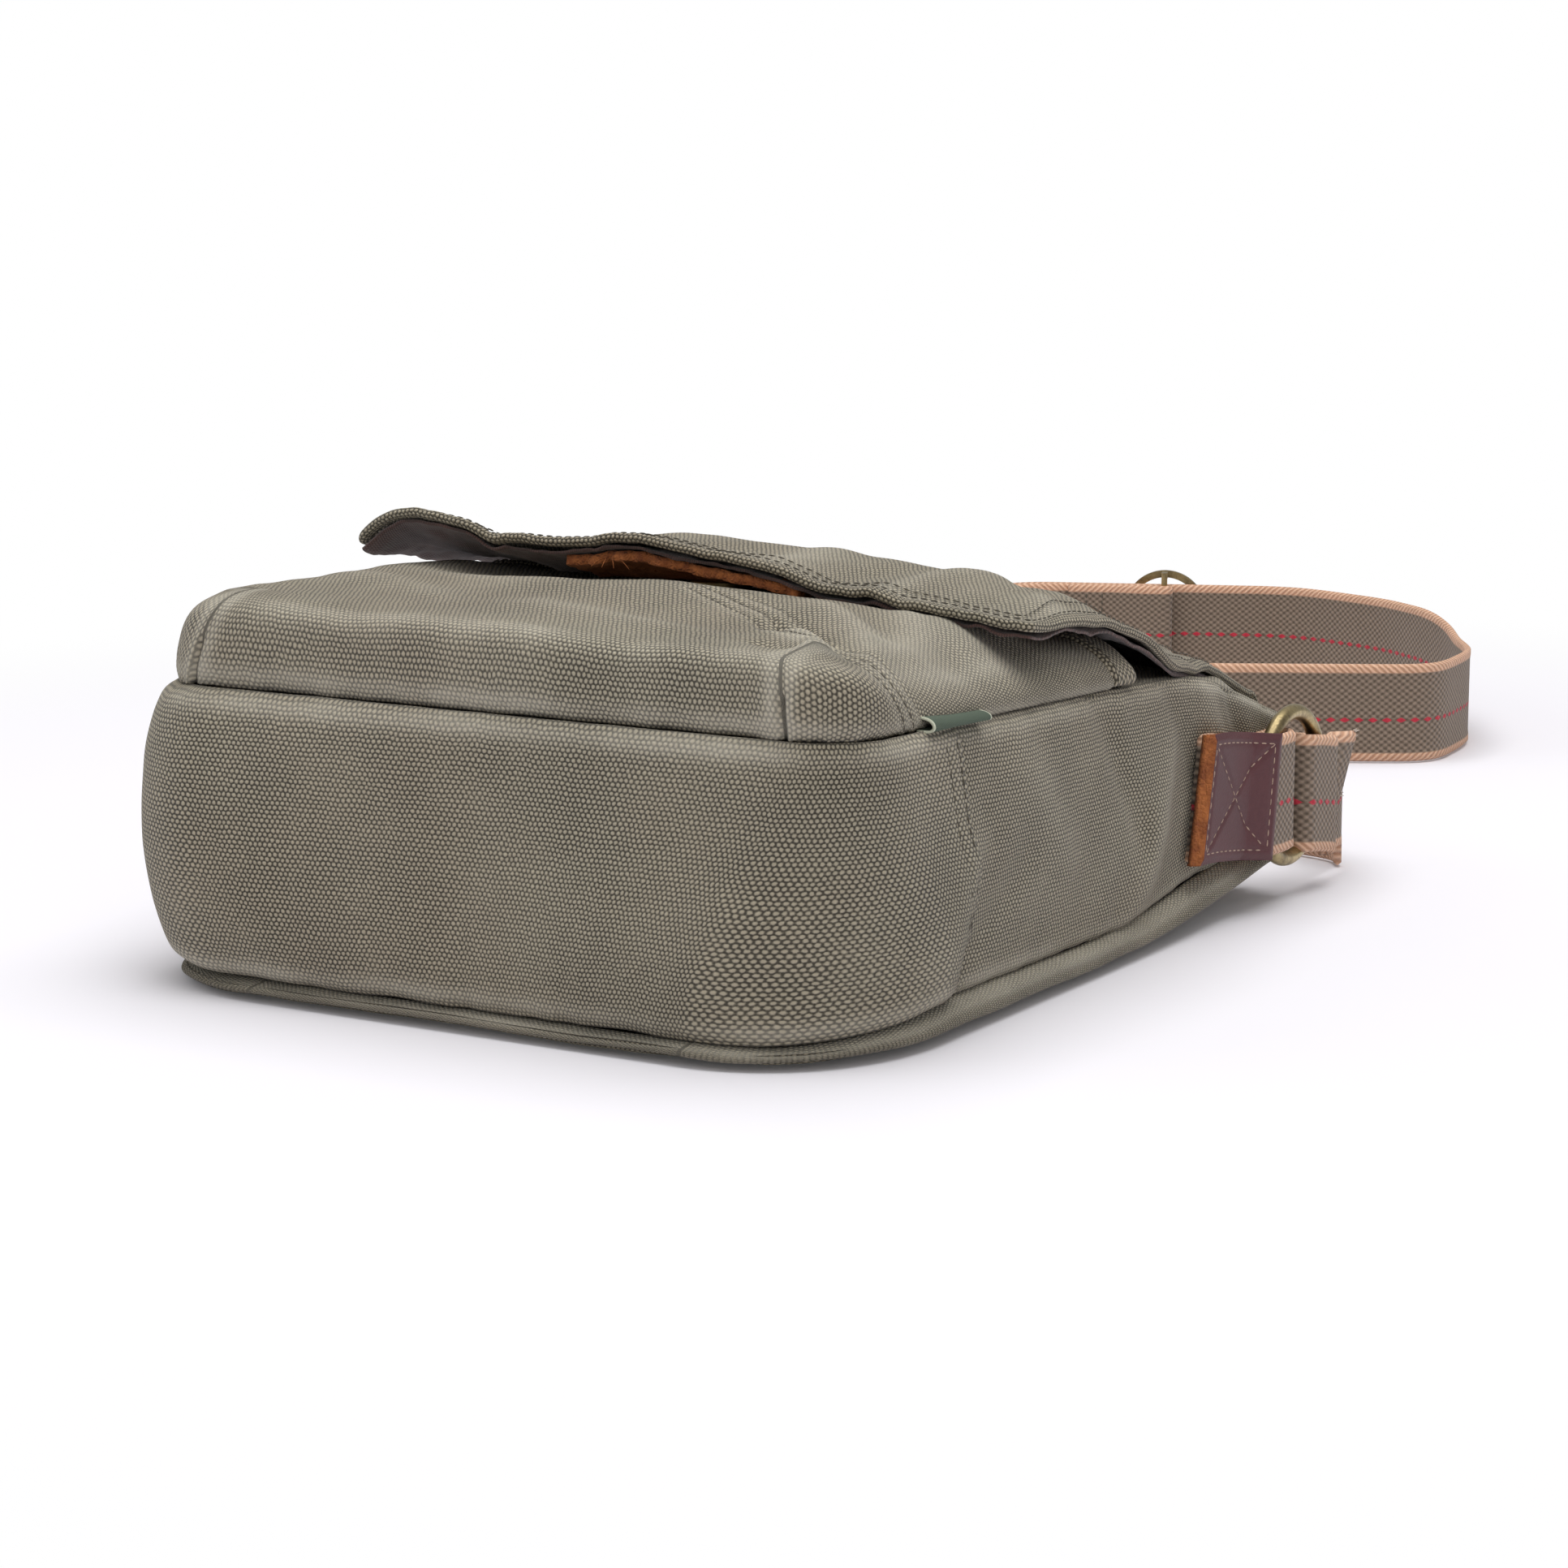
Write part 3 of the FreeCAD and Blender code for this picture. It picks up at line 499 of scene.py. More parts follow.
def sweep(
    name: str,
    path: Array,
    side: Array,
    up: Array,
    profile: Array,
    closed: bool = False,
    scale: Callable[[Array], Array] | None = None,
    girdled: bool = False,
) -> bpy.types.Object:
    """A profile carried along a path, with capped ends.

    Args:
        name: the piece's name.
        path: rows of points in millimetres.
        side: per point, the direction of the profile's first axis.
        up: per point, the direction of its second axis.
        profile: rows of (across, up), going round once.
        closed: joins the end to the start.
        scale: profile scale for the distance along the path.
        girdled: takes the distance round the profile as the place across, for cloth.

    Returns:
        The piece, with the distance along and the place across it in its UV map.
    """
    run = distances(path)
    n, m = len(path), len(profile)
    grow = np.ones(n) if scale is None else scale(run)
    points = (
        path[:, None, :]
        + side[:, None, :] * (profile[None, :, 0, None] * grow[:, None, None])
        + up[:, None, :] * (profile[None, :, 1, None] * grow[:, None, None])
    ).reshape(-1, 3)
    rows = n if closed else n - 1
    faces = [
        (i * m + j, ((i + 1) % n) * m + j, ((i + 1) % n) * m + (j + 1) % m, i * m + (j + 1) % m)
        for i in range(rows)
        for j in range(m)
    ]
    if not closed:
        faces.append(tuple(range(m)))
        faces.append(tuple((n - 1) * m + j for j in reversed(range(m))))
    obj = new_piece(name, points, faces)
    mesh = obj.data
    layer = mesh.uv_layers.new(name="UVMap")
    vertex = corner_vertices(mesh)
    across = distances(profile) if girdled else profile[:, 0]
    layer.data.foreach_set(
        "uv", np.column_stack((run[vertex // m], across[vertex % m])).ravel() * MM
    )
    mesh.attributes.new("wear", "FLOAT", "POINT")
    edit(obj, lambda: bpy.ops.mesh.normals_make_consistent(inside=False))
    mesh.shade_smooth()
    return obj


def along_path(path: Array) -> tuple[Array, Array]:
    """Unit headings of a path and its distance at each point."""
    heading = np.gradient(path, axis=0)
    heading /= np.linalg.norm(heading, axis=1, keepdims=True)
    return heading, distances(path)


def resampled(path: Array, step: float) -> Array:
    """The same path with points an even step apart."""
    _, run = along_path(path)
    count = max(int(round(run[-1] / step)), 2)
    at = np.linspace(0, run[-1], count + 1)
    return np.column_stack([np.interp(at, run, path[:, i]) for i in range(path.shape[1])])


def softened(path: Array, reach: float, step: float) -> Array:
    """A path with its turns eased over a reach, its two ends kept."""
    width = int(reach / step)
    for _ in range(2):
        ends = np.pad(path, ((width, width), (0, 0)), mode="reflect", reflect_type="odd")
        kernel = np.hanning(2 * width + 3)[1:-1]
        kernel /= kernel.sum()
        path = np.column_stack([np.convolve(ends[:, i], kernel, "valid") for i in range(path.shape[1])])
    return path


def eased(path: Array, reach: float) -> Array:
    """A path at one-millimetre steps with its turns softened."""
    return softened(resampled(path, 1.0), reach, 1.0)


def rounded(points: Sequence[tuple[float, float]], radii: Sequence[float]) -> Array:
    """A plan route of straight runs joined by arcs.

    Args:
        points: corners of the route.
        radii: one per inner corner.

    Returns:
        Rows of (x, y), about a millimetre apart on the arcs.
    """
    corners = np.asarray(points, float)
    out = [corners[0]]
    for i, radius in enumerate(radii, start=1):
        before = corners[i] - corners[i - 1]
        after = corners[i + 1] - corners[i]
        before, after = before / np.linalg.norm(before), after / np.linalg.norm(after)
        turn = math.acos(float(np.clip(before @ after, -1, 1)))
        if turn < 0.001:
            out.append(corners[i])
            continue
        back = radius * math.tan(turn / 2)
        a, b = corners[i] - before * back, corners[i] + after * back
        towards = (after - before) / np.linalg.norm(after - before)
        centre = corners[i] + towards * math.hypot(radius, back)
        count = max(int(radius * turn), 4)
        for k in range(count + 1):
            chord = a + (b - a) * k / count
            spoke = (chord - centre) / np.linalg.norm(chord - centre)
            out.append(centre + spoke * radius)
    out.append(corners[-1])
    return np.array(out)


THREAD_SEGMENTS = 6
THREAD_RINGS = 5


class Thread:
    """Stitches: one small bead, modelled once and copied along seams."""

    def __init__(self) -> None:
        """Models the bead."""
        bpy.ops.object.select_all(action="DESELECT")
        bpy.ops.mesh.primitive_uv_sphere_add(
            segments=THREAD_SEGMENTS, ring_count=THREAD_RINGS, radius=0.5
        )
        bead = bpy.context.object
        self.points = mesh_points(bead)
        self.faces = [tuple(p.vertices) for p in bead.data.polygons]
        bpy.data.objects.remove(bead, do_unlink=True)

    def sew(
        self,
        name: str,
        seams: Sequence[tuple[Array, Array]],
        length: float = 2.5,
        gap: float = 1.0,
        thickness: float = 0.55,
        sunk: float = 0.0,
    ) -> bpy.types.Object:
        """Stitches along seams.

        Args:
            name: the piece's name.
            seams: for each, rows of points and rows of surface normals, in millimetres.
            length: of a stitch.
            gap: between stitches.
            thickness: of the thread.
            sunk: how far the thread's middle lies under the surface.

        Returns:
            The piece.
        """
        places, sizes = [], []
        for path, normal in seams:
            _, run = along_path(path)
            starts = np.arange(gap, run[-1] - length, length + gap)
            for s in starts:
                a = np.array([np.interp(s, run, path[:, i]) for i in range(3)])
                b = np.array([np.interp(s + length, run, path[:, i]) for i in range(3)])
                n = np.array([np.interp(s + length / 2, run, normal[:, i]) for i in range(3)])
                along = (b - a) / np.linalg.norm(b - a)
                n = n - along * (n @ along)
                n /= np.linalg.norm(n)
                places.append(((a + b) / 2 - n * sunk, along, n, np.cross(along, n)))
                sizes.append(float(np.linalg.norm(b - a)))
        vertices, faces = [], []
        for (middle, along, n, across), size in zip(places, sizes):
            first = len(vertices) * len(self.points)
            local = (
                np.outer(self.points[:, 2], along) * size
                + np.outer(self.points[:, 0], across) * thickness
                + np.outer(self.points[:, 1], n) * thickness
            )
            vertices.append(local + middle)
            faces.extend(tuple(first + i for i in face) for face in self.faces)
        obj = new_piece(name, np.concatenate(vertices), faces)
        obj.data.shade_smooth()
        return obj


def on_sheet(place: Place, u: Array, v: Array, flip: bool = False) -> tuple[Array, Array]:
    """Points of a line drawn on a sheet, with the sheet's normals there.

    Args:
        place: the sheet's shape.
        u: first sheet coordinate along the line.
        v: second sheet coordinate along the line.
        flip: if the sheet's shaped side is turned round.

    Returns:
        Rows of points and rows of normals.
    """
    step = 1e-3
    du = place(np.clip(u + step, 0, 1), v) - place(np.clip(u - step, 0, 1), v)
    dv = place(u, np.clip(v + step, 0, 1)) - place(u, np.clip(v - step, 0, 1))
    normal = np.cross(du, dv)
    normal /= np.linalg.norm(normal, axis=1, keepdims=True)
    return place(u, v), -normal if flip else normal


# ---------------------------------------------------------------- shader maths
class Wire:
    """A node's output, used in Python expressions."""

    def __init__(self, tree: bpy.types.NodeTree, socket: bpy.types.NodeSocket) -> None:
        """Holds one output socket."""
        self.tree = tree
        self.socket = socket

    def math(self, operation: str, *values: "Wire | float") -> "Wire":
        """Result of a Math node."""
        return add(self.tree, "ShaderNodeMath", {"operation": operation}, dict(enumerate(values)))

    def __add__(self, other: "Wire | float") -> "Wire":
        """Sum."""
        return self.math("ADD", self, other)

    def __sub__(self, other: "Wire | float") -> "Wire":
        """Difference."""
        return self.math("SUBTRACT", self, other)

    def __rsub__(self, other: float) -> "Wire":
        """Difference with a number first."""
        return self.math("SUBTRACT", other, self)

    def __mul__(self, other: "Wire | float") -> "Wire":
        """Product."""
        return self.math("MULTIPLY", self, other)

    def cos(self) -> "Wire":
        """Cosine."""
        return self.math("COSINE", self)

    def abs(self) -> "Wire":
        """Distance from zero."""
        return self.math("ABSOLUTE", self)

    def over(self, limit: float, soft: float) -> "Wire":
        """0 below limit, 1 above it, with a soft edge."""
        settings = {"interpolation_type": "SMOOTHSTEP"}
        values = {"Value": self, "From Min": limit - soft, "From Max": limit + soft}
        return add(self.tree, "ShaderNodeMapRange", settings, values)


def add(
    tree: bpy.types.NodeTree,
    kind: str,
    settings: dict[str, object],
    values: dict[str | int, object],
    output: str | int = 0,
) -> Wire:
    """Adds a node.

    Args:
        tree: where it goes.
        kind: its type.
        settings: properties that are set first.
        values: numbers, colours or wires for its inputs.
        output: which output is wanted.

    Returns:
        That output.
    """
    node = tree.nodes.new(kind)
    for name, value in settings.items():
        setattr(node, name, value)
    for name, value in values.items():
        socket = node.inputs[name]
        if isinstance(value, Wire):
            tree.links.new(value.socket, socket)
        elif isinstance(value, tuple) and socket.type == "RGBA":
            socket.default_value = (*value, 1.0)
        else:
            socket.default_value = value
    return Wire(tree, node.outputs[output])


Colour = tuple[float, float, float]


@dataclass(frozen=True)
class Finish:
    """A material: what every finish shares."""

    name: str
    roughness: float = 0.9

    def new(self) -> tuple[bpy.types.Material, bpy.types.NodeTree]:
        """An empty material with its tree."""
        material = bpy.data.materials.new(self.name)
        material.use_nodes = True
        material.node_tree.nodes.clear()
        return material, material.node_tree

    def flat(self, tree: bpy.types.NodeTree) -> Wire:
        """The cloth's own coordinates."""
        return add(tree, "ShaderNodeUVMap", {}, {})

    def solid(self, tree: bpy.types.NodeTree) -> Wire:
        """The piece's coordinates in space."""
        return add(tree, "ShaderNodeTexCoord", {}, {}, "Object")

    def axes(self, tree: bpy.types.NodeTree, where: Wire) -> tuple[Wire, Wire]:
        """The first two coordinates of a place."""
        return tuple(add(tree, "ShaderNodeSeparateXYZ", {}, {0: where}, axis) for axis in "XY")

    def vector(self, tree: bpy.types.NodeTree, operation: str, values: dict[str | int, object]) -> Wire:
        """Result of a Vector Math node."""
        return add(tree, "ShaderNodeVectorMath", {"operation": operation}, values)

    def noise(self, tree: bpy.types.NodeTree, where: Wire, scale: float, detail: float = 3.0) -> Wire:
        """Cloudy noise from 0 to 1."""
        values = {"Vector": where, "Scale": scale, "Detail": detail, "Roughness": 0.6}
        return add(tree, "ShaderNodeTexNoise", {}, values, "Fac")

    def mix(self, tree: bpy.types.NodeTree, share: Wire, a: Wire | Colour, b: Wire | Colour) -> Wire:
        """Colour a, going to b where share is 1."""
        values = {"Factor": share, "A": a, "B": b}
        node = tree.nodes.new("ShaderNodeMix")
        node.data_type = "RGBA"
        for name, value in values.items():
            socket = next(s for s in node.inputs if s.name == name and s.enabled)
            if isinstance(value, Wire):
                tree.links.new(value.socket, socket)
            else:
                socket.default_value = (*value, 1.0)
        return Wire(tree, next(s for s in node.outputs if s.enabled))

    def finish(
        self,
        tree: bpy.types.NodeTree,
        colour: Wire,
        height: Wire,
        depth: float,
        roughness: Wire | float,
        metallic: float = 0.0,
        sheen: float = 0.0,
    ) -> None:
        """Ends the tree in a surface.

        Args:
            tree: the material's tree.
            colour: base colour.
            height: relief from 0 to 1.
            depth: what 1 stands for, in millimetres.
            roughness: value or wire.
            metallic: 0 or 1.
            sheen: soft fuzz of a cloth.
        """
        relief = {"Strength": 1.0, "Distance": depth * MM, "Height": height}
        bump = add(tree, "ShaderNodeBump", {}, relief)
        values = {
            "Base Color": colour,
            "Roughness": roughness,
            "Metallic": metallic,
            "Normal": bump,
            "Sheen Weight": sheen,
            "Sheen Roughness": 0.6,
        }
        surface = add(tree, "ShaderNodeBsdfPrincipled", {}, values)
        out = tree.nodes.new("ShaderNodeOutputMaterial")
        tree.links.new(surface.socket, out.inputs["Surface"])


@dataclass(frozen=True)
class Weave(Finish):
    """Washed plain-weave canvas or cotton: pale thread crowns over dark gaps."""

    pale: Colour = (0.43, 0.375, 0.285)
    dark: Colour = (0.032, 0.026, 0.015)
    worn: Colour = (0.37, 0.35, 0.295)
    pitch: float = 1.55
    row: float = 1.25
    relief: float = 0.48
    fade: float = 0.24
    sheen: float = 0.12
    slub: float = 0.0011
    faded_height: float = 0.44

    def make(self) -> bpy.types.Material:
        """The material."""
        material, tree = self.new()
        flat = self.flat(tree)
        solid = self.solid(tree)
        uneven = {"Vector": flat, "Scale": 170.0, "Detail": 2.0}
        slub = add(tree, "ShaderNodeTexNoise", {}, uneven, "Color")
        shift = self.vector(tree, "MULTIPLY_ADD", {0: slub, 1: (self.slub, self.slub, 0.0), 2: flat})
        s, t = self.axes(tree, shift)
        turn, climb = 2 * math.pi / (self.pitch * MM), math.pi / (self.row * MM)
        over_under = (s * turn).cos() * (t * climb).cos()
        crown = over_under * 0.444 + (t * (2 * climb)).cos() * 0.222 + 0.40
        fine = self.noise(tree, flat, 1500.0, 2.0)
        patchy = self.noise(tree, solid, 26.0, 4.0)
        cloud = self.noise(tree, solid, 9.0, 3.0)
        wear = add(tree, "ShaderNodeAttribute", {"attribute_name": "wear"}, {}, "Fac")
        smooth = patchy.over(0.50, 0.14) * self.fade + wear * 0.08
        crowned = crown + (fine - 0.5) * 0.7
        lit = crowned * (1.0 - smooth) + smooth * self.faded_height
        base = self.mix(tree, lit.over(0.40, 0.30), self.dark, self.pale)
        tone = self.mix(tree, cloud.over(0.5, 0.3), (1.04, 1.0, 0.94), (0.97, 1.0, 0.96))
        tinted = self.vector(tree, "MULTIPLY", {0: base, 1: tone})
        pale = wear * (patchy * 0.9 + 0.35)
        colour = self.mix(tree, pale * 0.5, tinted, self.worn)
        shade = cloud * 0.26 + patchy * 0.34 + wear * 0.32 + 0.67
        shaded = self.vector(tree, "SCALE", {0: colour, "Scale": shade})
        self.finish(tree, shaded, crowned, self.relief, self.roughness, sheen=self.sheen)
        return material


@dataclass(frozen=True)
class Webbing(Finish):
    """Coarse strap webbing with orange edges and one line of red dashes."""

    pale: Colour = (0.30, 0.225, 0.165)
    dark: Colour = (0.085, 0.058, 0.038)
    edge_pale: Colour = (0.78, 0.49, 0.33)
    edge_dark: Colour = (0.47, 0.24, 0.14)
    red: Colour = (0.50, 0.018, 0.04)
    half_width: float = 19.0
    edge: float = 3.4
    line: float = -2.7
    dash: float = 5.4
    rib: float = 3.1
    row: float = 2.5
    cord: float = 2.1

    def make(self) -> bpy.types.Material:
        """The material."""
        material, tree = self.new()
        flat = self.flat(tree)
        s, t = (axis * (1 / MM) for axis in self.axes(tree, flat))
        fuzz = self.noise(tree, flat, 1300.0, 3.0)
        wander = self.noise(tree, flat, 260.0, 2.0) - 0.5
        rib = ((s + wander * 0.7) * (2 * math.pi / self.rib)).cos()
        row = ((t + wander * 0.5) * (2 * math.pi / self.row)).cos()
        knit = rib * row * 0.5 + 0.5
        cord = ((s * 0.8 + t.abs() * 0.9 + wander) * (2 * math.pi / self.cord)).cos() * 0.5 + 0.5
        body = self.mix(tree, (knit + (fuzz - 0.5) * 0.7).over(0.5, 0.6), self.dark, self.pale)
        lit_cord = (cord + (fuzz - 0.5) * 0.8).over(0.45, 0.6)
        rim = self.mix(tree, lit_cord, self.edge_dark, self.edge_pale)
        at_edge = t.abs().over(self.half_width - self.edge, 0.45)
        phase = (s * (2 * math.pi / self.dash)).cos()
        near = (t - self.line).abs()
        dashes = (phase * 0.55 - near).over(-0.35, 0.22)
        faint = near.over(0.55, 0.2) * -1.0 + 1.0
        line = self.mix(tree, faint * 0.45, body, self.dark)
        dashed = self.mix(tree, dashes, line, self.red)
        colour = self.mix(tree, at_edge, dashed, rim)
        height = knit * (1.0 - at_edge) + cord * at_edge + fuzz * 0.3 + dashes * 0.5
        self.finish(tree, colour, height, 0.45, self.roughness, sheen=0.15)
        return material


@dataclass(frozen=True)
class Leather(Finish):
    """Leather or its raw cut edge."""

    colour: Colour = (0.102, 0.030, 0.034)
    second: Colour = (0.076, 0.021, 0.025)
    grain: float = 900.0
    relief: float = 0.05
    cloud: float = 60.0

    def make(self) -> bpy.types.Material:
        """The material."""
        material, tree = self.new()
        solid = self.solid(tree)
        cloud = self.noise(tree, solid, self.cloud, 4.0)
        pores = add(
            tree, "ShaderNodeTexVoronoi", {"feature": "DISTANCE_TO_EDGE"},
            {"Vector": solid, "Scale": self.grain}, "Distance",
        )
        fibre = self.noise(tree, solid, self.grain * 0.7, 4.0)
        colour = self.mix(tree, (cloud * 0.6 + fibre * 0.4).over(0.5, 0.2), self.second, self.colour)
        height = pores.over(0.18, 0.18) * 0.6 + fibre * 0.5
        rough = cloud * 0.2 + (self.roughness - 0.06)
        self.finish(tree, colour, height, self.relief, rough)
        return material


@dataclass(frozen=True)
class Brass(Finish):
    """Antique brass with dull patches."""

    colour: Colour = (0.50, 0.40, 0.20)
    dull: Colour = (0.20, 0.155, 0.085)

    def make(self) -> bpy.types.Material:
        """The material."""
        material, tree = self.new()
        solid = self.solid(tree)
        cloud = self.noise(tree, solid, 110.0, 5.0)
        speck = self.noise(tree, solid, 900.0, 3.0)
        patina = (cloud * 0.7 + speck * 0.3).over(0.50, 0.16)
        colour = self.mix(tree, patina, self.colour, self.dull)
        rough = patina * 0.16 + self.roughness
        self.finish(tree, colour, cloud + speck * 0.5, 0.03, rough, metallic=1.0)
        return material


@dataclass(frozen=True)
class Tape(Finish):
    """Woven label tape: green, with pale lines along its edges."""

    colour: Colour = (0.10, 0.135, 0.095)
    second: Colour = (0.055, 0.08, 0.055)
    pale: Colour = (0.62, 0.64, 0.50)
    half_width: float = 16.0
    twill: float = 0.9

    def make(self) -> bpy.types.Material:
        """The material."""
        material, tree = self.new()
        flat = self.flat(tree)
        s, t = (axis * (1 / MM) for axis in self.axes(tree, flat))
        twill = ((s + t) * (2 * math.pi / self.twill)).cos() * 0.5 + 0.5
        fuzz = self.noise(tree, flat, 1800.0, 2.0)
        body = self.mix(tree, twill * 0.6 + fuzz * 0.4, self.second, self.colour)
        line = s.abs().over(self.half_width - 0.6, 0.15)
        colour = self.mix(tree, line, body, self.pale)
        self.finish(tree, colour, twill, 0.12, self.roughness)
        return material


@dataclass(frozen=True)
class Yarn(Finish):
    """Sewing thread."""

    colour: Colour = (0.10, 0.085, 0.06)

    def make(self) -> bpy.types.Material:
        """The material."""
        material, tree = self.new()
        solid = self.solid(tree)
        ply = self.noise(tree, solid, 1400.0, 2.0)
        dim = tuple(c * 0.55 for c in self.colour)
        colour = self.mix(tree, ply.over(0.5, 0.2), dim, self.colour)
        self.finish(tree, colour, ply, 0.1, self.roughness, sheen=0.1)
        return material


class Cloths(Enum):
    """Every finish on the bag."""

    CANVAS = Weave("washed_canvas")
    COTTON = Weave(
        "brown_cotton", 0.85, pale=(0.082, 0.034, 0.027), dark=(0.018, 0.007, 0.006),
        worn=(0.12, 0.06, 0.05), pitch=0.8, relief=0.12, fade=0.4, sheen=0.2,
    )
    WEBBING = Webbing("strap_webbing")
    BROWN = Leather("brown_leather", 0.5)
    RAW = Leather(
        "raw_edge", 0.95, colour=(0.46, 0.155, 0.045), second=(0.20, 0.055, 0.018),
        grain=700.0, relief=0.5, cloud=190.0,
    )
    TAN = Leather(
        "tan_leather", 0.7, colour=(0.36, 0.13, 0.045), second=(0.22, 0.07, 0.025),
        grain=800.0, relief=0.12,
    )
    BRASS = Brass("antique_brass", 0.27)
    TAPE = Tape("label_tape", 0.8)
    SEAM = Yarn("dark_thread", 0.85)
    PALE = Yarn("pale_thread", 0.8, colour=(0.52, 0.36, 0.27))
    FLUFF = Yarn("loose_fibre", 0.95, colour=(0.62, 0.52, 0.44))


class Wardrobe:
    """Makes each finish once and dresses pieces in it."""

    def __init__(self) -> None:
        """Starts with nothing made."""
        self.made: dict[Cloths, bpy.types.Material] = {}

    def of(self, cloths: Cloths) -> bpy.types.Material:
        """The finish's material."""
        if cloths not in self.made:
            self.made[cloths] = cloths.value.make()
        return self.made[cloths]

    def dress(self, obj: bpy.types.Object, *cloths: Cloths) -> bpy.types.Object:
        """Gives the object these finishes as its material slots."""
        obj.data.materials.clear()
        for one in cloths:
            obj.data.materials.append(self.of(one))
        return obj


# ---------------------------------------------------------------- the bag's own shapes
@dataclass(frozen=True)
class Sizes:
    """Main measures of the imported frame, in millimetres."""

    half: float
    bottom: float
    mouth: float
    ring: tuple[float, float, float]
    pocket_mouth: float
    flap_half: float
    flap_edge: float
    fold: float

    @staticmethod
    def read() -> "Sizes":
        """Takes the measures from the frame's nodes."""
        low, high = (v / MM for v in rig.box("main_front_panel"))
        ring_low, ring_high = (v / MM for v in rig.box("ring_right"))
        flap_low, flap_high = (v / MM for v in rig.box("flap_front_canvas"))
        top_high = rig.box("flap_top_canvas")[1] / MM
        ring = (ring_low + ring_high) / 2
        return Sizes(
            half=high.x,
            bottom=low.y,
            mouth=high.y,
            ring=(ring.x, ring.y, ring.z),
            pocket_mouth=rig.box("pocket_front")[1].y / MM,
            flap_half=flap_high.x,
            flap_edge=flap_low.y,
            fold=top_high.y,
        )


def rows(*columns: Array) -> Array:
    """Coordinate arrays as rows of points."""
    return np.column_stack(np.broadcast_arrays(*columns))


@dataclass
class Plan:
    """The bag's rounded outline, from the left of its mouth round the bottom to the right."""

    sizes: Sizes
    radius: float = 30.0
    side: float = field(init=False)
    arc: float = field(init=False)
    across: float = field(init=False)
    total: float = field(init=False)

    def __post_init__(self) -> None:
        """Works out the stretches."""
        self.side = self.sizes.mouth - self.sizes.bottom - self.radius
        self.arc = self.radius * math.pi / 2
        self.across = self.sizes.half - self.radius
        self.total = 2 * (self.side + self.arc + self.across)

    def follow(self, s: Array, radius: Array) -> tuple[Array, Array, Array, Array]:
        """Place and outward direction on the outline.

        Args:
            s: distance along it.
            radius: corner radius there.

        Returns:
            x, y and the direction's two components.
        """
        away = s - self.total / 2
        a, hand = np.abs(away), np.sign(away)
        phi = np.clip((a - self.across) / self.arc, 0, 1) * math.pi / 2
        f = np.clip((a - self.across - self.arc) / self.side, 0, 1)
        half, bottom = self.sizes.half, self.sizes.bottom
        x = (half - radius) * np.minimum(a / self.across, 1) + radius * np.sin(phi)
        settle = (radius - self.radius) * ease(0, 0.12, f)
        y = bottom + radius * (1 - np.cos(phi)) + f * self.side - settle
        return hand * x, y, hand * np.sin(phi), -np.cos(phi)

    def at_side(self, y: float, hand: int) -> float:
        """Distance along the outline at height y on one side."""
        a = self.across + self.arc + y - self.sizes.bottom - self.radius
        return self.total / 2 + hand * a


# Heights of the seams and of the back panel's underside, as (y, z) in millimetres.
FRONT_SEAM = (
    (-137.5, 85.4), (-100, 84.8), (-63, 83.2), (-20, 81.9), (30, 80.1), (80, 75.6), (137.5, 58.0),
)
BACK_SEAM = ((-137.5, 5.0), (-120, 6.6), (-76, 9.6), (0, 9.0), (40, 11.0), (76, 15.5), (137.5, 20.0))
BACK_LINE = ((-137.5, 0.3), (30, 0.3), (60, 2.4), (137.5, 12.0))


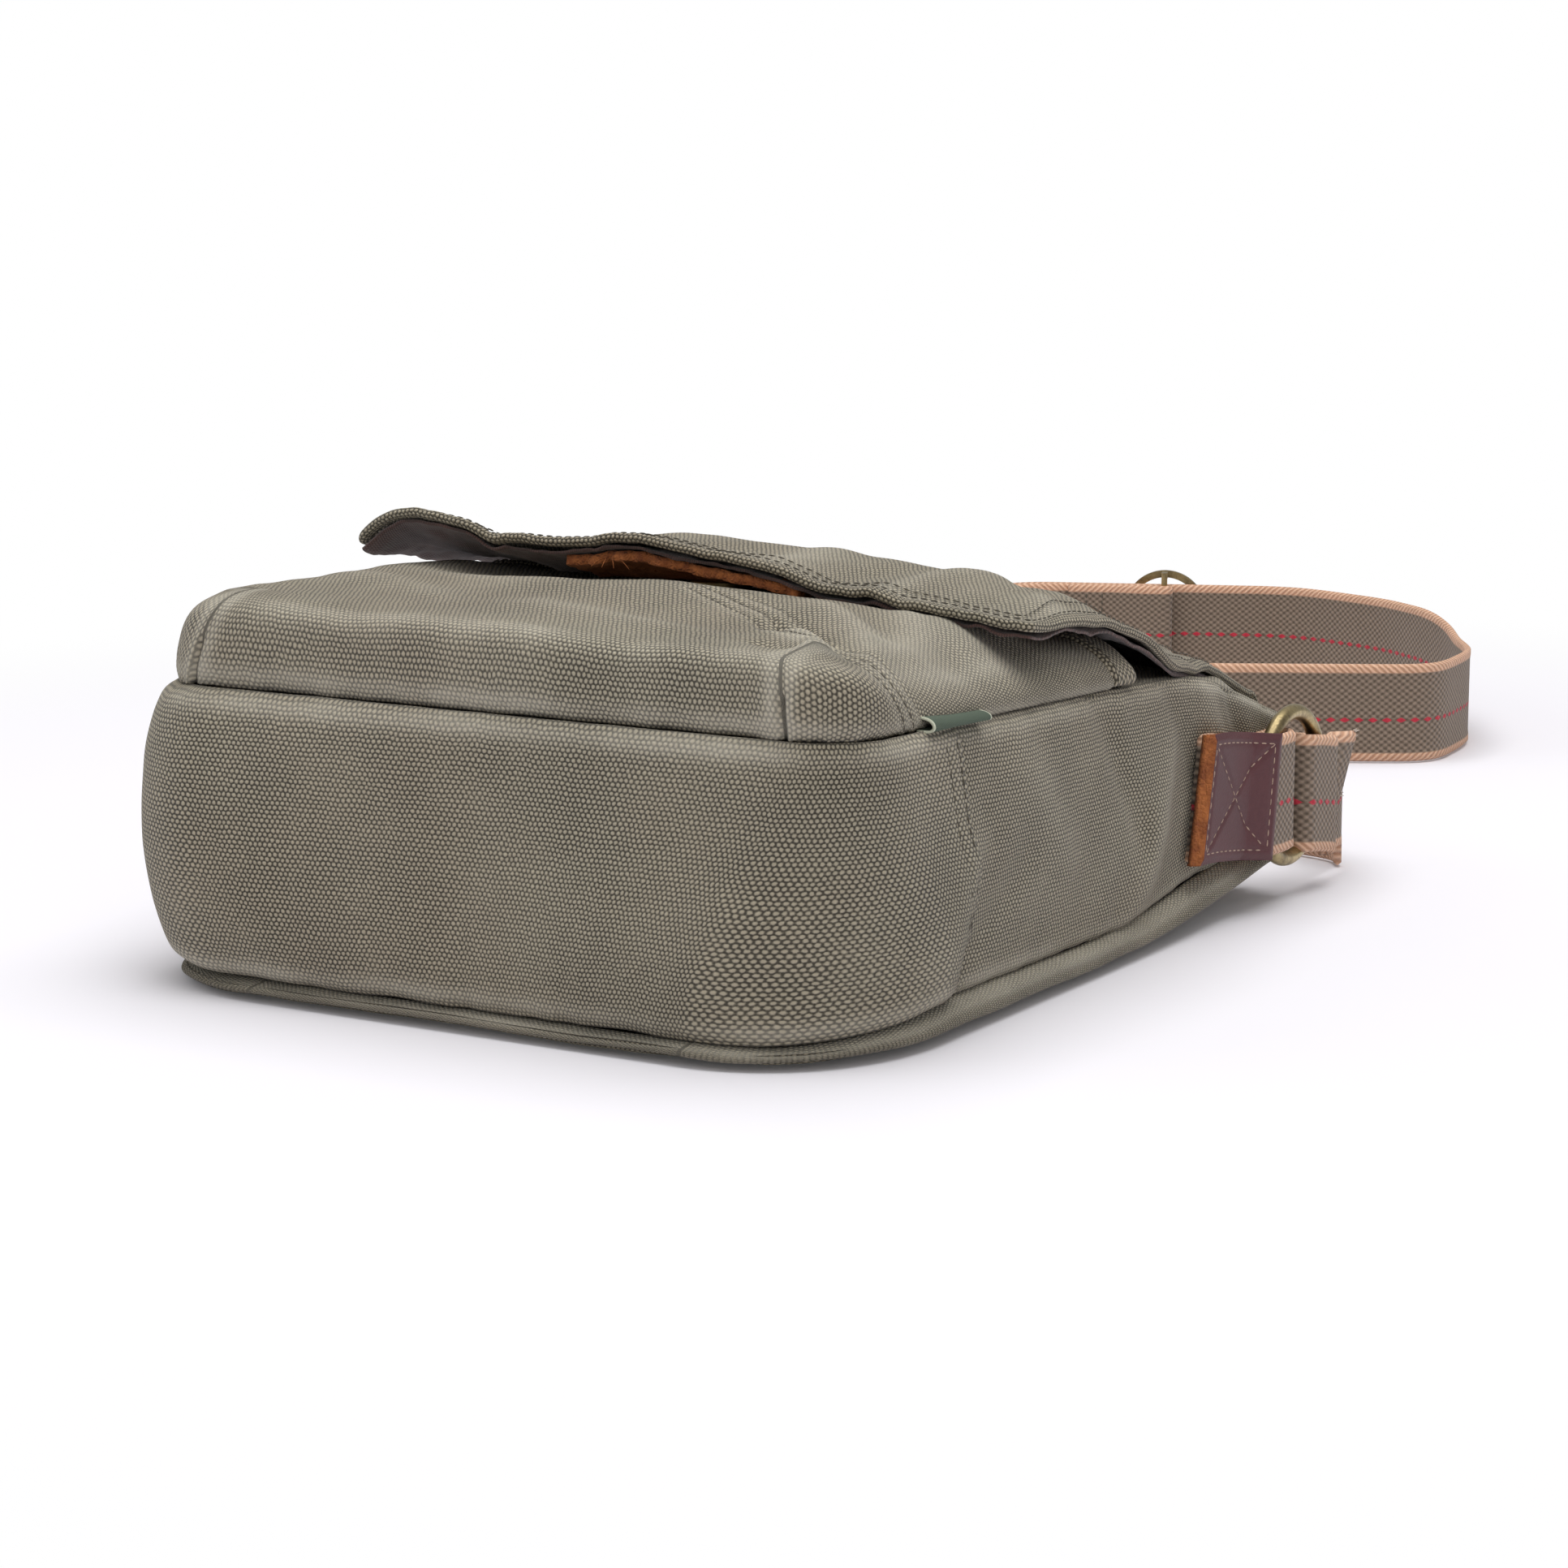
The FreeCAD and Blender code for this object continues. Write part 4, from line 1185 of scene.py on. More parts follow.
@dataclass
class Body:
    """Back panel, gussets, front panel, mouth hem and lining."""

    sizes: Sizes
    plan: Plan
    wardrobe: Wardrobe
    thread: Thread
    back_radius: float = 44.0
    front_radius: float = 22.0
    groove: float = 1.7
    canvas: float = 2.0
    wrap: float = -82.0
    toe: float = 8.0
    left_radius: float = 31.0
    depth: float = 79.0
    fold_depth: float = 72.0
    crowding: float = 0.62
    mouth_low: float = 13.6
    mouth_high: float = 56.4
    mouth_corner: float = 9.0
    hem_back: float = 9.4
    rows_in: tuple[float, float] = (3.0, 8.0)
    left_folds: Ripple = field(default_factory=lambda: Ripple(3))
    fine_folds: Ripple = field(default_factory=lambda: Ripple(11))

    LIP = (
        (0, 0), (0.66, 0.0), (0.96, 0.05), (1.08, 0.22), (1.11, 0.45), (1.06, 0.74), (0.955, 1.0),
    )
    GUSSET_FOLDS = (
        Crease((505, 0.05), (540, 0.62), 2.2, 8.0),
        Crease((522, 0.0), (575, 0.5), -1.6, 6.0),
        Crease((560, 0.95), (600, 0.3), 1.5, 9.0),
        Crease((618, 1.0), (650, 0.25), -2.2, 6.5),
        Crease((640, 0.0), (672, 0.8), 2.4, 7.5),
        Crease((690, 1.05), (722, 0.2), 3.4, 6.0),
        Crease((708, 1.05), (738, 0.3), -3.0, 4.5),
        Crease((664, 1.05), (700, 0.3), -2.2, 5.0),
    )

    SHOULDER = (Crease((116, 92), (84, 128), 2.2, 6.0), Crease((110, 78), (70, 112), 1.6, 5.0))

    def gusset(self, s: Array, t: Array, inset: float = 0.0) -> Array:
        """A point on the gusset, in millimetres.

        Args:
            s: distance along the outline.
            t: 0 at the back seam, 1 at the front seam.
            inset: how far inside the outer face.

        Returns:
            Rows of points.
        """
        back = np.where(s < self.plan.total / 2, self.left_radius, self.back_radius)
        radius = back + (self.front_radius - back) * ease(0, 1, t)
        x, y, nx, ny = self.plan.follow(s, radius)
        z0, z1 = through(BACK_SEAM, y), through(FRONT_SEAM, y)
        depth = z1 - z0
        d = np.minimum(t, 1 - t) * depth
        calm = 1 - ease(30, 64, y)
        left = ease(-20, 100, -x) * (1 - ease(-40, 60, y))
        belly = np.sin(math.pi * np.clip(t, 0, 1)) ** 0.75
        low_belly = np.sin(math.pi * np.clip(t, 0, 1)) ** 0.5
        out = belly * (3.4 * calm + 0.4) + low_belly * left * 7.5
        out += (self.left_folds.at(s, t * depth, 62.0, 2) * 1.5) * belly * (0.3 + 0.7 * calm)
        out += self.fine_folds.at(s, t * depth, 17.0, 2) * 0.35 * belly
        out += self.folds_at(s, t) * (0.45 + 0.55 * calm)
        pucker = self.fine_folds.at(s, 0 * s, 6.5) * 0.75 + self.left_folds.at(s, 0 * s + 5, 13.0) * 0.6
        out += pucker * np.exp(-d / 7.0) * 0.8
        out -= self.groove * hump(d, 1.9)
        out -= inset
        wave = self.left_folds.at(s, 0 * s + 9, 34.0, 2) * 1.1 * (1 - t) * hump(t * depth, 30)
        z = z0 + depth * t + wave
        out = out + self.toe * ny**2 * (1 - ease(-0.1, 0.75, t))
        return rows(x + nx * out, y + ny * out, z)

    def folds_at(self, s: Array, t: Array) -> Array:
        """The gusset's drawn folds, with t stretched to millimetres."""
        total = np.zeros(len(s))
        for fold in self.GUSSET_FOLDS:
            tall = Crease(
                (fold.start[0], fold.start[1] * self.fold_depth),
                (fold.end[0], fold.end[1] * self.fold_depth),
                fold.height, fold.width, fold.bow,
            )
            total += tall.at(s, t * self.fold_depth)
        return total

    def gusset_strip(
        self, name: str, s0: float, s1: float, lift: float, hem: tuple[bool, bool]
    ) -> bpy.types.Object:
        """One stretch of the gusset.

        Args:
            name: the piece's name.
            s0: where it starts along the outline.
            s1: where it ends.
            lift: how far it lies over its neighbour.
            hem: whether its start and end are turned edges that lie on the neighbour.

        Returns:
            The piece.
        """
        span = s1 - s0

        def spread(v: Array) -> Array:
            return v - self.crowding * np.sin(2 * math.pi * v) / (2 * math.pi)

        def place(u: Array, v: Array) -> Array:
            s = s0 + span * u
            edge = np.full(len(u), 99.0)
            if hem[0]:
                edge = np.minimum(edge, s - s0)
            if hem[1]:
                edge = np.minimum(edge, s1 - s)
            stitch = hump(edge - self.rows_in[0], 0.9) + hump(edge - self.rows_in[1], 0.9)
            roll = lift * (1 - 0.75 * hump(edge, 0.9)) - 0.35 * stitch
            tall = through(FRONT_SEAM, self.plan.follow(s, np.full(len(s), 30.0))[1])
            pleat = self.fine_folds.at(tall * spread(v), s * 0 + 4, 5.0) * 0.5 * np.exp(-edge / 9.0)
            return self.gusset(s, spread(v), -roll - pleat * (edge < 90))

        def flat(u: Array, v: Array) -> Array:
            return rows(s0 + span * u, spread(v) * self.depth)

        def wear(u: Array, v: Array) -> Array:
            t = spread(v)
            d = np.minimum(t, 1 - t) * self.depth
            s = s0 + span * u
            patch = 0.5 + 0.5 * self.left_folds.at(s, t * 70, 24.0, 2)
            rub = hump(d - 3.0, 3.0) * (0.3 + 0.8 * patch)
            crest = np.clip(self.folds_at(s, t) * 0.16, 0, 0.4)
            return rub + crest + 0.12 * patch

        size = (max(int(span / 1.5), 8), 62)
        piece = cloth(name, size, place, flat, self.canvas, shade=wear)
        return self.wardrobe.dress(piece, Cloths.CANVAS)

    def gussets(self) -> list[bpy.types.Object]:
        """Bottom gusset and the two side gussets."""
        left, right = self.plan.at_side(self.wrap, -1), self.plan.at_side(self.wrap, 1)
        made = [
            self.gusset_strip("gusset_bottom", left, right, 2.0, (True, True)),
            self.gusset_strip("gusset_side_left", 0.0, left + 12, 0.0, (False, False)),
            self.gusset_strip("gusset_side_right", right - 12, self.plan.total, 0.0, (False, False)),
        ]
        for piece, node in zip(made, ("bottom_gusset", "side_gusset_left", "side_gusset_right")):
            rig.replaces(piece, node)
            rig.slot(piece, "canvas")

        def skin(u: Array, v: Array) -> Array:
            return self.gusset(u * 1000, v, -1.8)

        t = np.linspace(0.04, 0.96, 60)
        seams = [
            on_sheet(skin, np.full(len(t), s + hand * edge) / 1000, t)
            for s, hand in ((left, 1), (right, -1))
            for edge in self.rows_in
        ]
        stitches = self.thread.sew(
            "gusset_topstitch", seams, length=2.4, gap=0.9, thickness=0.55, sunk=0.1,
        )
        made.append(self.wardrobe.dress(stitches, Cloths.SEAM))
        return made

    def back_panel(self) -> bpy.types.Object:
        """Back panel with a soft rolled lip outside its seam."""
        tray = Tray(
            self.sizes, corner=self.back_radius, top=self.sizes.mouth,
            profile=self.LIP, margin=self.back_radius + 9.0,
        )

        def place(u: Array, v: Array) -> Array:
            p, q = tray.cloth_at(u, v)
            rho, theta = tray.turned(p, q)
            square = np.where(p < 0, 0.115 * np.sin(2 * theta) ** 1.5, 0.0)
            tuck = np.where(p < 0, 0.10 * np.cos(theta), 0.0) * (1 - ease(0.82, 1.0, rho)) * (rho > 0)
            reach = 1 + square - tuck + self.toe / self.back_radius * np.sin(theta) ** 2
            x, y, rho = tray.plan_at(p, q, reach)
            z0, z1 = through(BACK_LINE, y), through(BACK_SEAM, y)
            rise = tray.height_at(rho)
            edge = ease(0.6, 0.9, rho) * (1 - rho * 0.9)
            wave = self.left_folds.at(x, y, 26.0, 2) * 1.6 * edge
            soft = (self.fine_folds.at(x, y, 30.0, 2) * 0.5 + 0.5) * (1 - ease(0.7, 0.95, rho))
            swell = 2.2 * hump(rho - 0.9, 0.1) * self.left_folds.at(x, y, 40.0, 1)
            d = np.maximum(np.hypot(x, y), 1)
            z = z0 + (z1 - z0) * rise + soft + np.maximum(wave, -0.2)
            return rows(x + x / d * swell, y + y / d * swell, z)

        def wear(u: Array, v: Array) -> Array:
            p, q = tray.cloth_at(u, v)
            x, y, rho = tray.plan_at(p, q)
            patch = 0.5 + 0.5 * self.left_folds.at(x, y, 30.0, 2)
            return 0.9 * hump(rho - 0.88, 0.09) + 0.35 * ease(0.7, 0.9, rho) + 0.3 * patch

        piece = cloth("panel_back", (190, 190), place, tray.flat_at, self.canvas, flip=True, shade=wear)
        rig.replaces(piece, "back_panel")
        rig.slot(piece, "canvas")
        return self.wardrobe.dress(piece, Cloths.CANVAS)

    def front_panel(self) -> bpy.types.Object:
        """Front panel behind the pocket, up to the mouth."""

        def place(u: Array, v: Array) -> Array:
            y = self.sizes.bottom + 3 + (self.sizes.mouth - self.sizes.bottom - 3) * v
            corner = np.clip(self.front_radius - (y - self.sizes.bottom), 0, None)
            half = self.sizes.half - 1.4 - (
                self.front_radius - np.sqrt(np.clip(self.front_radius**2 - corner**2, 0, None))
            )
            w = 2 * u - 1
            x = half * w - 0.12 * half * np.sin(2 * math.pi * w) / math.pi
            d = half - np.abs(x)
            upper = ease(10, 60, y)
            puff = (1 - hump(d, 2.2)) * 1.8 * upper
            puff = puff + 3.4 * upper * ease(2, 40, d) * (1 - ease(100, 137, y))
            fold = self.left_folds.at(x, y, 28.0, 2) * 1.3 * upper * ease(0, 10, d)
            ridge, dip = (crease.at(x, y) for crease in self.SHOULDER)
            z = through(FRONT_SEAM, y) - 0.9 + puff + fold + (ridge - dip) * ease(0, 6, d)
            ceiling = 61 + 0 * z + (self.sizes.mouth - y) * 0.4
            return rows(x, y, np.where(y > self.sizes.mouth - 18, np.minimum(z, ceiling), z))

        def flat(u: Array, v: Array) -> Array:
            return rows((2 * u - 1) * self.sizes.half, 275 * v)

        def wear(u: Array, v: Array) -> Array:
            return 0.7 * hump((1 - np.abs(2 * u - 1)) * self.sizes.half - 3, 3.5)

        piece = cloth("panel_front", (120, 130), place, flat, self.canvas, shade=wear)
        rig.replaces(piece, "main_front_panel")
        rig.slot(piece, "canvas")
        return self.wardrobe.dress(piece, Cloths.CANVAS)

    def mouth_loop(self) -> tuple[Array, Array]:
        """The mouth's edge as a closed loop, with directions out of the opening."""
        half, low, high = self.sizes.half - 1.2, self.mouth_low, self.mouth_high
        r = self.mouth_corner
        points, outs = [], []
        corners = (
            (half - r, low + r, -90), (half - r, high - r, 0),
            (-half + r, high - r, 90), (-half + r, low + r, 180),
        )
        for cx, cz, a0 in corners:
            for k in range(13):
                a = math.radians(a0 + 90 * k / 12)
                points.append((cx + r * math.cos(a), cz + r * math.sin(a)))
                outs.append((math.cos(a), math.sin(a)))
        loop = np.array(points + points[:1])
        out = np.array(outs + outs[:1])
        _, run = along_path(loop)
        at = np.linspace(0, run[-1], 221)[:-1]
        x, z = (np.interp(at, run, loop[:, i]) for i in (0, 1))
        nx, nz = (np.interp(at, run, out[:, i]) for i in (0, 1))
        sag = self.left_folds.at(at, at * 0, 24.0, 2) * 0.9
        path = rows(x + nx * sag, self.sizes.mouth - self.hem_back + 0 * x, z + nz * sag)
        outward = rows(nx, 0 * nx, nz)
        return path, outward / np.linalg.norm(outward, axis=1, keepdims=True)

    def mouth_hem(self) -> list[bpy.types.Object]:
        """Turned hem round the mouth, with its stitches."""
        path, out = self.mouth_loop()
        side = np.tile([0.0, 1.0, 0.0], (len(path), 1))
        profile = stadium_profile(width=14.0, height=3.6, count=26)
        hem = sweep("hem_mouth", path, side, out, profile, True, girdled=True)
        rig.replaces(hem, "mouth_hem")
        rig.slot(hem, "canvas")
        self.wardrobe.dress(hem, Cloths.CANVAS)
        lines = [(path + side * y + out * 1.75, out) for y in (-4.6, 4.4)]
        stitches = self.thread.sew(
            "hem_mouth_stitch", lines, length=2.6, gap=1.0, thickness=0.55, sunk=0.1,
        )
        return [hem, self.wardrobe.dress(stitches, Cloths.SEAM)]

    def lining(self) -> list[bpy.types.Object]:
        """Brown cotton lining: gusset, back and front."""
        inset, end = 3.2, self.sizes.mouth - 12

        def wall(u: Array, v: Array) -> Array:
            p = self.gusset(self.plan.total * u, 0.03 + 0.94 * v, inset)
            p[:, 1] = np.minimum(p[:, 1], end)
            p[:, 2] += 1.5 - 3.0 * v
            return p

        def floor(level: Sequence[tuple[float, float]], shift: float) -> Place:
            def place(u: Array, v: Array) -> Array:
                y = self.sizes.bottom + 4 + (end - self.sizes.bottom - 4) * v
                corner = np.clip(26 - (y - self.sizes.bottom), 0, None)
                half = self.sizes.half - 4.5 - (26 - np.sqrt(np.clip(26**2 - corner**2, 0, None)))
                x = half * (2 * u - 1)
                return rows(x, y, through(level, y) + shift + self.fine_folds.at(x, y, 22.0, 2) * 0.4)
            return place

        def flat(u: Array, v: Array) -> Array:
            return rows(230 * u, 275 * v)

        made = [
            cloth("lining_wall", (240, 24), wall, lambda u, v: rows(self.plan.total * u, 78 * v), 0.8),
            cloth("lining_under", (60, 70), floor(BACK_LINE, 3.4), flat, 0.8),
            cloth("lining_over", (60, 70), floor(FRONT_SEAM, -4.4), flat, 0.8, flip=True),
        ]
        for piece, node in zip(made, ("lining_gusset", "lining_back", "lining_front")):
            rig.replaces(piece, node)
            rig.slot(piece, "lining_cotton")
            self.wardrobe.dress(piece, Cloths.COTTON)
        return made

    def build(self) -> list[bpy.types.Object]:
        """Every piece of the body, riding on the bag."""
        made = [*self.gussets(), self.back_panel(), self.front_panel()]
        made += self.mouth_hem() + self.lining()
        for piece in made:
            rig.ride(piece, "bag")
        return made


@dataclass
class Tray:
    """A panel boxed along its sides and bottom end, with round corners and an open top end.

    profile gives (plan distance, height) from the top's edge to the seam, as shares of
    the corner radius and of the box's height.
    """

    sizes: Sizes
    corner: float
    top: float
    profile: tuple[tuple[float, float], ...]
    margin: float

    def __post_init__(self) -> None:
        """Works out where the corners turn."""
        self.x_turn = self.sizes.half - self.corner
        self.y_turn = self.sizes.bottom + self.corner

    def cloth_at(self, u: Array, v: Array) -> tuple[Array, Array]:
        """Cloth coordinates for grid coordinates from 0 to 1."""
        half = self.x_turn + self.margin
        low = self.y_turn - self.margin
        return (2 * u - 1) * half, low + (self.top - low) * v

    def turned(self, p: Array, q: Array) -> tuple[Array, Array]:
        """How far out on the side, and round which angle from the side to the bottom."""
        a = np.clip(np.abs(p) - self.x_turn, 0, None) / self.margin
        b = np.clip(self.y_turn - q, 0, None) / self.margin
        rho = np.maximum(a, b)
        safe = np.where(rho > 0, rho, 1)
        theta = np.where(a >= b, math.pi / 4 * b / safe, math.pi / 2 - math.pi / 4 * a / safe)
        return rho, np.where(rho > 0, theta, 0)

    def plan_at(self, p: Array, q: Array, reach: Array | float = 1.0) -> tuple[Array, Array, Array]:
        """Plan place of cloth coordinates, and how far out on the side."""
        rho, theta = self.turned(p, q)
        r = np.interp(rho, *self.even(0)) * self.corner * reach
        x = np.clip(p, -self.x_turn, self.x_turn) + np.sign(p) * r * np.cos(theta)
        y = np.maximum(q, self.y_turn) - r * np.sin(theta)
        return x, y, rho

    def even(self, column: int) -> tuple[Array, Array]:
        """One column of the profile against the share of cloth used, smoothed."""
        points = np.asarray(self.profile, float) * self.corner
        _, run = along_path(points)
        share = np.linspace(0, 1, 80)
        values = through(tuple(zip(run / run[-1], np.asarray(self.profile)[:, column])), share)
        return share, values

    def height_at(self, rho: Array) -> Array:
        """Share of the box's height at each place on the side."""
        return np.interp(rho, *self.even(1))

    def flat_at(self, u: Array, v: Array) -> Array:
        """Cloth coordinates for the weave, with strips laid round the corners."""
        p, q = self.cloth_at(u, v)
        rho, theta = self.turned(p, q)
        corner = (np.abs(p) > self.x_turn) & (q < self.y_turn)
        s = np.where(corner, np.sign(p) * (self.x_turn + rho * self.margin), p)
        t = np.where(corner, self.y_turn - theta * self.corner, q)
        return rows(s, t)


# Heights of the pocket's top face in millimetres, and the folds drawn on it.
POCKET_TOP = Relief(
    xs=(-115, -96, -60, -20, 20, 60, 84, 100, 115),
    ys=(-138, -118, -95, -60, -15, 10, 27),
    rows=(
        (109.0, 110.2, 109.6, 109.0, 108.8, 108.6, 108.0, 106.5, 104.5),
        (109.6, 110.6, 110.0, 109.2, 108.8, 108.0, 106.8, 104.6, 102.0),
        (109.4, 110.2, 109.8, 109.2, 108.8, 107.4, 104.8, 101.0, 97.5),
        (109.2, 110.0, 110.0, 112.2, 113.0, 110.8, 104.6, 99.0, 94.5),
        (108.4, 108.6, 105.4, 101.2, 101.0, 103.4, 102.0, 97.2, 92.5),
        (105.0, 105.4, 103.6, 100.6, 99.4, 99.8, 98.6, 95.2, 91.0),
        (101.0, 102.4, 101.8, 99.6, 98.4, 98.0, 96.6, 93.4, 89.5),
    ),
)
POCKET_FOLDS = (
    Crease((100, -128), (66, -92), 2.6, 4.5, 3),
    Crease((108, -112), (58, -60), 2.4, 6.0, 5),
    Crease((90, -122), (70, -110), -1.8, 3.5),
    Crease((104, -96), (76, -40), 2.2, 7.5, 4),
    Crease((82, -98), (56, -82), -1.6, 5.0),
    Crease((108, -60), (60, -10), 2.0, 8.0, 3),
    Crease((100, -30), (70, 14), 1.8, 7.0),
    Crease((-100, -70), (-30, -104), 1.0, 7.0, -3),
    Crease((-88, -50), (-20, -70), 0.9, 8.0),
    Crease((-20, -96), (60, -112), 1.1, 7.0, 2),
    Crease((-60, -20), (-10, -44), 0.9, 7.0),
)


@dataclass
class Pocket:
    """Boxed front pocket with darted corners, topstitching and a mouth hem."""

    sizes: Sizes
    wardrobe: Wardrobe
    thread: Thread
    corner: float = 19.0
    canvas: float = 2.0
    dart_depth: float = 2.3
    margin: float = 36.0
    sheet_reach: float = 200.0
    tray: "Tray" = field(init=False)
    soft_tray: "Tray" = field(init=False)
    waves: Ripple = field(default_factory=lambda: Ripple(5))

    TOPSTITCH = (
        (137.0, -101.0), (126.0, -106.0), (112.0, -112.0), (94.0, -110.0), (74.0, -94.0), (52.0, -76.0),
        (26.0, -64.0),
    )
    BOXY = ((0, 1.0), (0.55, 0.995), (0.85, 0.93), (1.0, 0.77), (1.04, 0.5), (1.03, 0.22), (0.92, 0.0))
    ROUND = ((0, 1.0), (0.35, 0.97), (0.68, 0.82), (0.90, 0.58), (0.99, 0.34), (1.0, 0.14), (0.92, 0.0))

    def __post_init__(self) -> None:
        """Sets up the boxy profile and the softer one of the right side."""
        self.tray, self.soft_tray = (
            Tray(self.sizes, self.corner, self.sizes.pocket_mouth, profile, self.margin)
            for profile in (self.BOXY, self.ROUND)
        )

    def at(self, p: Array, q: Array) -> Array:
        """Points for the pocket's cloth coordinates, in millimetres."""
        rho, theta = self.tray.turned(p, q)
        right = np.cos(theta) ** 2 * ease(-140, -100, q)
        soft = np.where(p > 0, right, 0.85 * np.cos(theta / 1.25) ** 2)
        hard_r, soft_r = (np.interp(rho, *t.even(0)) for t in (self.tray, self.soft_tray))
        hard_h, soft_h = (np.interp(rho, *t.even(1)) for t in (self.tray, self.soft_tray))
        r = (hard_r + (soft_r - hard_r) * soft) * self.corner
        h = hard_h + (soft_h - hard_h) * soft
        tray = self.tray
        x = np.clip(p, -tray.x_turn, tray.x_turn) + np.sign(p) * r * np.cos(theta)
        y = np.maximum(q, tray.y_turn) - r * np.sin(theta)
        base = through(FRONT_SEAM, y)
        top = POCKET_TOP.at(x, y)
        inner = 1 - ease(0.55, 0.98, rho)
        z = base + (top - base) * h
        z = z + creased(POCKET_FOLDS, x, y) * inner * 1.45
        swell = self.waves.at(x, y, 46.0, 2) * 1.1 + self.waves.at(x + 90, y, 15.0, 2) * 0.35
        z = z + swell * inner
        face = hump(rho - 0.75, 0.22)
        out = face * (self.waves.at(p, q, 40.0, 2) * 1.0 + self.waves.at(q, p, 14.0) * 0.4)
        seam = (1 - rho) * tray.margin
        pucker = self.waves.at(p, q * 0 + np.sign(p) * theta * 20, 6.5) * 0.5
        out = out + pucker * np.exp(-seam / 6.0) * ease(0.3, 0.8, rho)
        out = out - self.dart(p, q, rho)
        x = x + np.sign(p) * out * np.cos(theta) * (rho > 0)
        y = y - out * np.sin(theta) * (rho > 0)
        edge = tray.top - q
        z = z - 0.45 * hump(edge - 13.0, 1.2) + 0.5 * (1 - ease(12.0, 14.5, edge))
        z = z - 0.8 * self.stitch_groove(p, q)
        front = np.clip(np.sin(theta), 0, 1)
        skew = hump(x + 97, 14.0) * front * (rho > 0)
        x = x + skew * (h - 0.45) * 11.0 * (p < 0)
        back = ease(0.05, 0.5, rho) * np.clip(1.04 - r / self.corner, 0, 1) * 9.0
        x = x - hump(x - 97, 16.0) * front * (h * 1.5 + back) * (p > 0) * (rho > 0)
        return rows(x, y, z)

    def dart(self, p: Array, q: Array, rho: Array) -> Array:
        """Depth of the corner darts' grooves, with the cloth full on either side."""
        d = np.abs(np.abs(p) - self.tray.x_turn)
        on = (q < self.tray.y_turn + 3) * 1.0
        length = ease(0.66, 0.75, rho)
        return on * length * (self.dart_depth * hump(d, 1.15) - 0.5 * hump(d - 5, 4.0))

    def stitch_groove(self, p: Array, q: Array) -> Array:
        """Groove along the two rows of topstitching."""
        dense = resampled(eased(np.array(self.TOPSTITCH), 12.0), 2.0)
        near = np.full(len(p), 99.0)
        for a, b in dense:
            near = np.minimum(near, (p - a) ** 2 + (q - b) ** 2)
        near = np.sqrt(near)
        return hump(near - 0.3, 1.1) + hump(near - 5.3, 1.1) * 0.9

    def build(self) -> list[bpy.types.Object]:
        """The pocket's pieces, riding on the bag."""
        tray = self.tray

        def place(u: Array, v: Array) -> Array:
            return self.at(*tray.cloth_at(u, v))

        def wear(u: Array, v: Array) -> Array:
            p, q = tray.cloth_at(u, v)
            x, y, rho = tray.plan_at(p, q)
            patch = 0.5 + 0.5 * self.waves.at(x + 40, y, 24.0, 2)
            crest = np.clip(creased(POCKET_FOLDS, x, y) * 0.30, 0, 0.7) * (1 - ease(0.6, 1, rho))
            top_edge = hump(rho - 0.42, 0.12) * (0.2 + 0.5 * patch)
            seam = hump((1 - rho) * tray.margin - 3, 2.6) * (0.3 + 0.8 * patch) * (rho > 0.5)
            beside = hump(np.abs(np.abs(p) - tray.x_turn) - 3.4, 2.8)
            dart = beside * (q < tray.y_turn) * (0.35 + 0.7 * patch)
            stitched = self.stitch_groove(p, q + 2.6) * 0.45
            return crest + top_edge + seam + dart + stitched + 0.22 * patch

        pocket = cloth("pocket_canvas", (200, 140), place, tray.flat_at, self.canvas, shade=wear)
        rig.replaces(pocket, "pocket_front")
        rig.slot(pocket, "canvas")
        self.wardrobe.dress(pocket, Cloths.CANVAS)

        half = tray.x_turn + tray.margin - 3.0
        p = np.linspace(-half, half, 260)
        q = np.full(len(p), tray.top - 6.0)

        def grid(u: Array, v: Array) -> Array:
            return self.at((2 * u - 1) * (half + 3), v * 100 - 60)

        u = (p / (half + 3) + 1) / 2
        points, normal = on_sheet(grid, u, (q + 60) / 100)
        side = np.tile([0.0, 1.0, 0.0], (len(p), 1))
        side -= normal * np.sum(side * normal, axis=1, keepdims=True)
        profile = stadium_profile(width=14.0, height=3.8, count=26)
        hem = sweep("pocket_hem_band", points - normal * 1.0, side, normal, profile, girdled=True)
        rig.replaces(hem, "pocket_hem")
        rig.slot(hem, "canvas")
        self.wardrobe.dress(hem, Cloths.CANVAS)
        line = resampled(eased(np.array(self.TOPSTITCH), 12.0), 1.5)
        heading, _ = along_path(line)
        wide = self.sheet_reach

        def sheet_at(a: Array, b: Array) -> Array:
            return self.at(a * (2 * wide) - wide, b * (2 * wide) - wide)

        seams = []
        for shift in (0.0, 5.0):
            row = line + np.column_stack((-heading[:, 1], heading[:, 0])) * shift
            row = row[row[:, 0] < half + 2]
            seams.append(on_sheet(sheet_at, *((row[:, i] + wide) / (2 * wide) for i in (0, 1))))
        seams.append((points + side * -5.0 + normal * 0.95, normal))
        stitches = self.thread.sew(
            "pocket_topstitch", seams, length=2.4, gap=0.9, thickness=0.6, sunk=-0.05,
        )
        self.wardrobe.dress(stitches, Cloths.SEAM)
        for piece in (pocket, hem, stitches):
            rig.ride(piece, "bag")
        return [pocket, hem, stitches]


